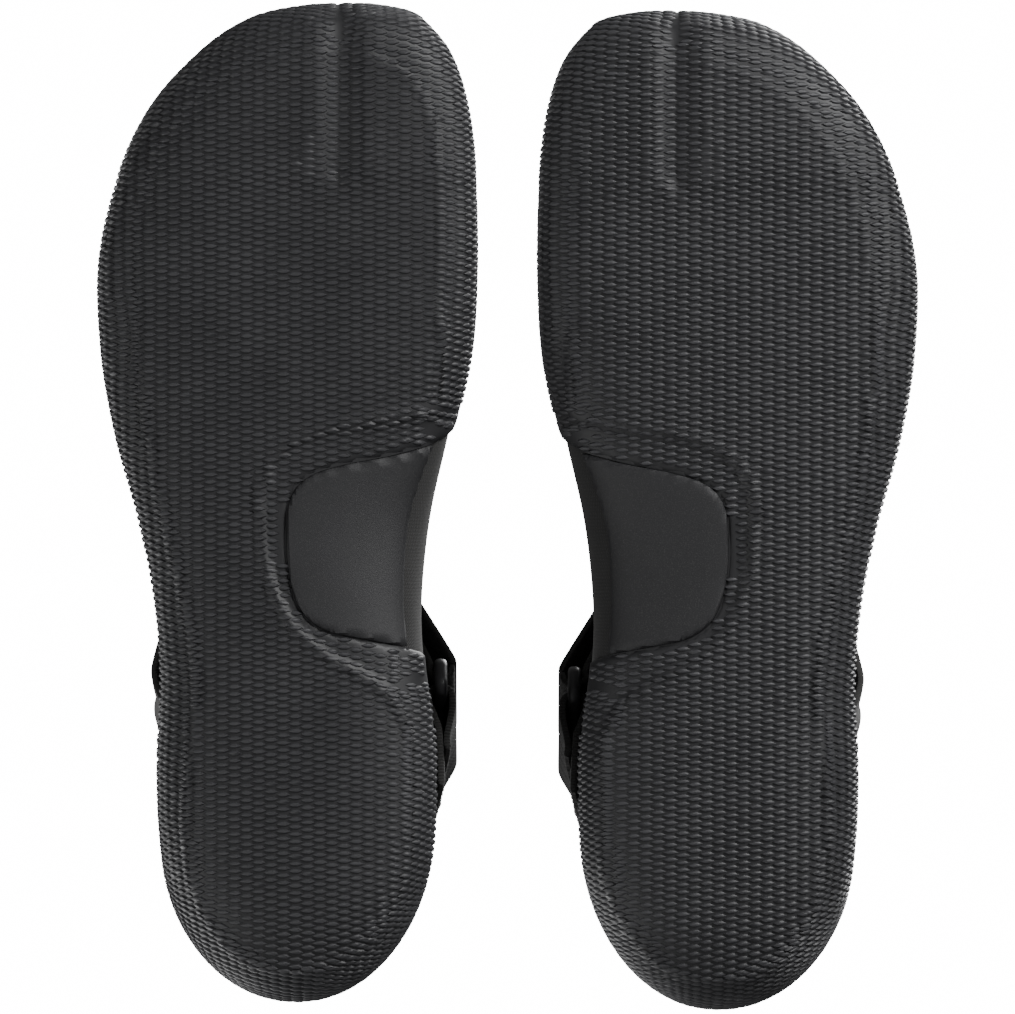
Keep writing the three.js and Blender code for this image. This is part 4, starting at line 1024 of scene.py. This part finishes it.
verts = []
for way_p, way_b, start in ((1, 1, 0), (-1, 1, 90), (-1, -1, 180), (1, -1, 270)):
    for turn in np.radians(np.linspace(start, start + 90, 9)):
        for a in 2 * math.pi * np.arange(BAR_STEPS) / BAR_STEPS:
            reach = CORNER + squared(math.cos(a))
            p, b = way_p * corner_p + reach * math.cos(turn), way_b * corner_b + reach * math.sin(turn)
            verts.append(STRAP_AT + p * ALONG + b * ACROSS + (RING_W + squared(math.sin(a)), 0, 0))
ring = outward(np.array(verts), hoop(len(verts) // BAR_STEPS, BAR_STEPS))
pair("strap_ring", ring, plastic.material, sharp=60)

# ---- Ring tab ----
# A doubled loop of webbing round the rear bar, sewn down on a bonded patch.
TAB_TURN, TAB_OFF = 3.4, 3.8


def tab_line(sec):
    first = run(sec, arc_at(sec, -37), arc_at(sec, -16), TAB_OFF, 24)
    last = run(sec, arc_at(sec, -16.5), arc_at(sec, -16), TAB_OFF, 2)
    lead = curve([*last, (-BAR_AT - 2, RING_W - TAB_TURN), (-BAR_AT, RING_W - TAB_TURN)], per=10)
    back = run(sec, arc_at(sec, -19.4), arc_at(sec, -24.4), TAB_OFF + 2.3, 2)
    close = curve([(-BAR_AT, RING_W + TAB_TURN), (-BAR_AT - 5, RING_W + TAB_TURN), *back], per=10)
    return np.concatenate([first, lead[11:-1], around_bar(-BAR_AT, TAB_TURN, -90, 90, 24), close[1:]])


pair("ring_tab", band(STRAP_WIDTH - 2, 2.0, tab_line), web)
under_tab = band(STRAP_WIDTH + 8, 1.0, lambda sec: run(sec, arc_at(sec, -41), arc_at(sec, -14), 0.9, 40),
                 columns=9)
pair("tab_patch", under_tab, tape)

# ---- Pull loop ----
# A doubled patch of webbing on the back tape carries a loop over the top edge of the heel.
patch_field = np.where(U < 60, np.minimum.reduce([10 - np.abs(W), Z - 167.5, 193.8 - Z]), -5)
pair("loop_patch", slab(clipped(patch_field), 5.4, 1.8, edge=1.2), web)
BACK_AT, LOOP_BASE = -10.89, 194.1
path = curve([[-0.5, 0], [-1.3, 5], [-1.6, 11], [-0.6, 16], [3.2, 17.6], [7.2, 15.6], [7.6, 10.5], [4.4, 5],
              [2.3, 0]], per=8)
xs = np.r_[-10, -9.6, np.linspace(-9, 9, 9), 9.6, 10]
half = 0.9 * (0.5 + 0.5 * np.sqrt(1 - (1 - np.minimum(10 - np.abs(xs), 1)) ** 2))
faces_of_loop = []
for sign in (-1, 1):
    lines = [path + to_the_left(path) * sign * h for h in half]
    faces_of_loop.append([[(x, BACK_AT + a, LOOP_BASE + b) for a, b in q] for x, q in zip(xs, lines)])
places = [(a, x) for x in xs for a in arc_length(path)] * 2
pair("pull_loop", (*strip(*np.array(faces_of_loop)), np.array(places)), web, body="loop",
     bend=((0, BACK_AT, LOOP_BASE), (0, BACK_AT, LOOP_BASE + 4)))

# ---- Floor, light and camera ----
# A pale floor that only shows from above, so the soles can be looked at from straight below, where
# the camera stands; soft lamps light the soles from the left boot's side and the boots from above.
FLOOR_REACH, FLOOR_Z = 3, -0.0006
pale = Paint("Pale floor")
pale.set(Base_Color=(0.82, 0.82, 0.82), Roughness=0.9)
glow = pale.node("ShaderNodeEmission", {"Strength": 1.6}).outputs[0]
lit = pale.node("ShaderNodeAddShader", {0: pale.face.outputs[0], 1: glow}).outputs[0]
seen = pale.node("ShaderNodeLightPath").outputs["Is Camera Ray"]
below = pale.node("ShaderNodeNewGeometry").outputs["Backfacing"]
from_above = pale.node("ShaderNodeMath", {0: seen, 1: below}, operation="SUBTRACT", use_clamp=True).outputs[0]
clear = pale.node("ShaderNodeBsdfTransparent").outputs[0]
shown = pale.node("ShaderNodeMixShader", {0: from_above, 1: clear, 2: lit}).outputs[0]
pale.feed(pale.tree.nodes["Material Output"].inputs["Surface"], shown)
corners = [(x * FLOOR_REACH, y * FLOOR_REACH, FLOOR_Z) for x, y in ((-1, -1), (1, -1), (1, 1), (-1, 1))]
solid("floor", corners, [(0, 1, 2, 3)], pale.material, sharp=0)

world = bpy.data.worlds.new("world")
bpy.context.scene.world = world
world.use_nodes = True
air = Nodes(world.node_tree)
sky = air.tree.nodes["Background"]
air.feed(sky.inputs[0], (1, 1, 1))
air.feed(sky.inputs[1], 0.22)
backdrop = air.node("ShaderNodeBackground", {0: (1, 1, 1), 1: 16}).outputs[0]
seen = air.node("ShaderNodeLightPath").outputs["Is Camera Ray"]
chosen = air.node("ShaderNodeMixShader", {0: seen, 1: sky.outputs[0], 2: backdrop}).outputs[0]
air.feed(air.tree.nodes["World Output"].inputs[0], chosen)
for name, place, target, size, watts in (
        ("key", (1.35, -1.1, -1.0), (0, 0, 0.05), 0.8, 52),
        ("fill", (-1.4, 0.7, -1.0), (0, 0, 0.05), 0.9, 13),
        ("over", (0.9, -1.1, 1.5), (0, 0, 0.1), 1.0, 50),
        ("behind", (-1.2, 1.0, 1.0), (0, 0, 0.1), 1.2, 25)):
    lamp = bpy.data.lights.new(name, "AREA")
    lamp.size, lamp.energy = size, watts
    obj = placed(name, lamp)
    obj.location = place
    obj.rotation_euler = (Vector(target) - Vector(place)).to_track_quat("-Z", "Y").to_euler()
eye = bpy.data.cameras.new("camera")
eye.lens, eye.sensor_width, eye.clip_start, eye.clip_end = 626, 36, 0.01, 20
camera = placed("camera", eye)
camera.location = (0, 0.0001, -5.0)
camera.rotation_euler = (math.pi, 0, 0)
bpy.context.scene.camera = camera
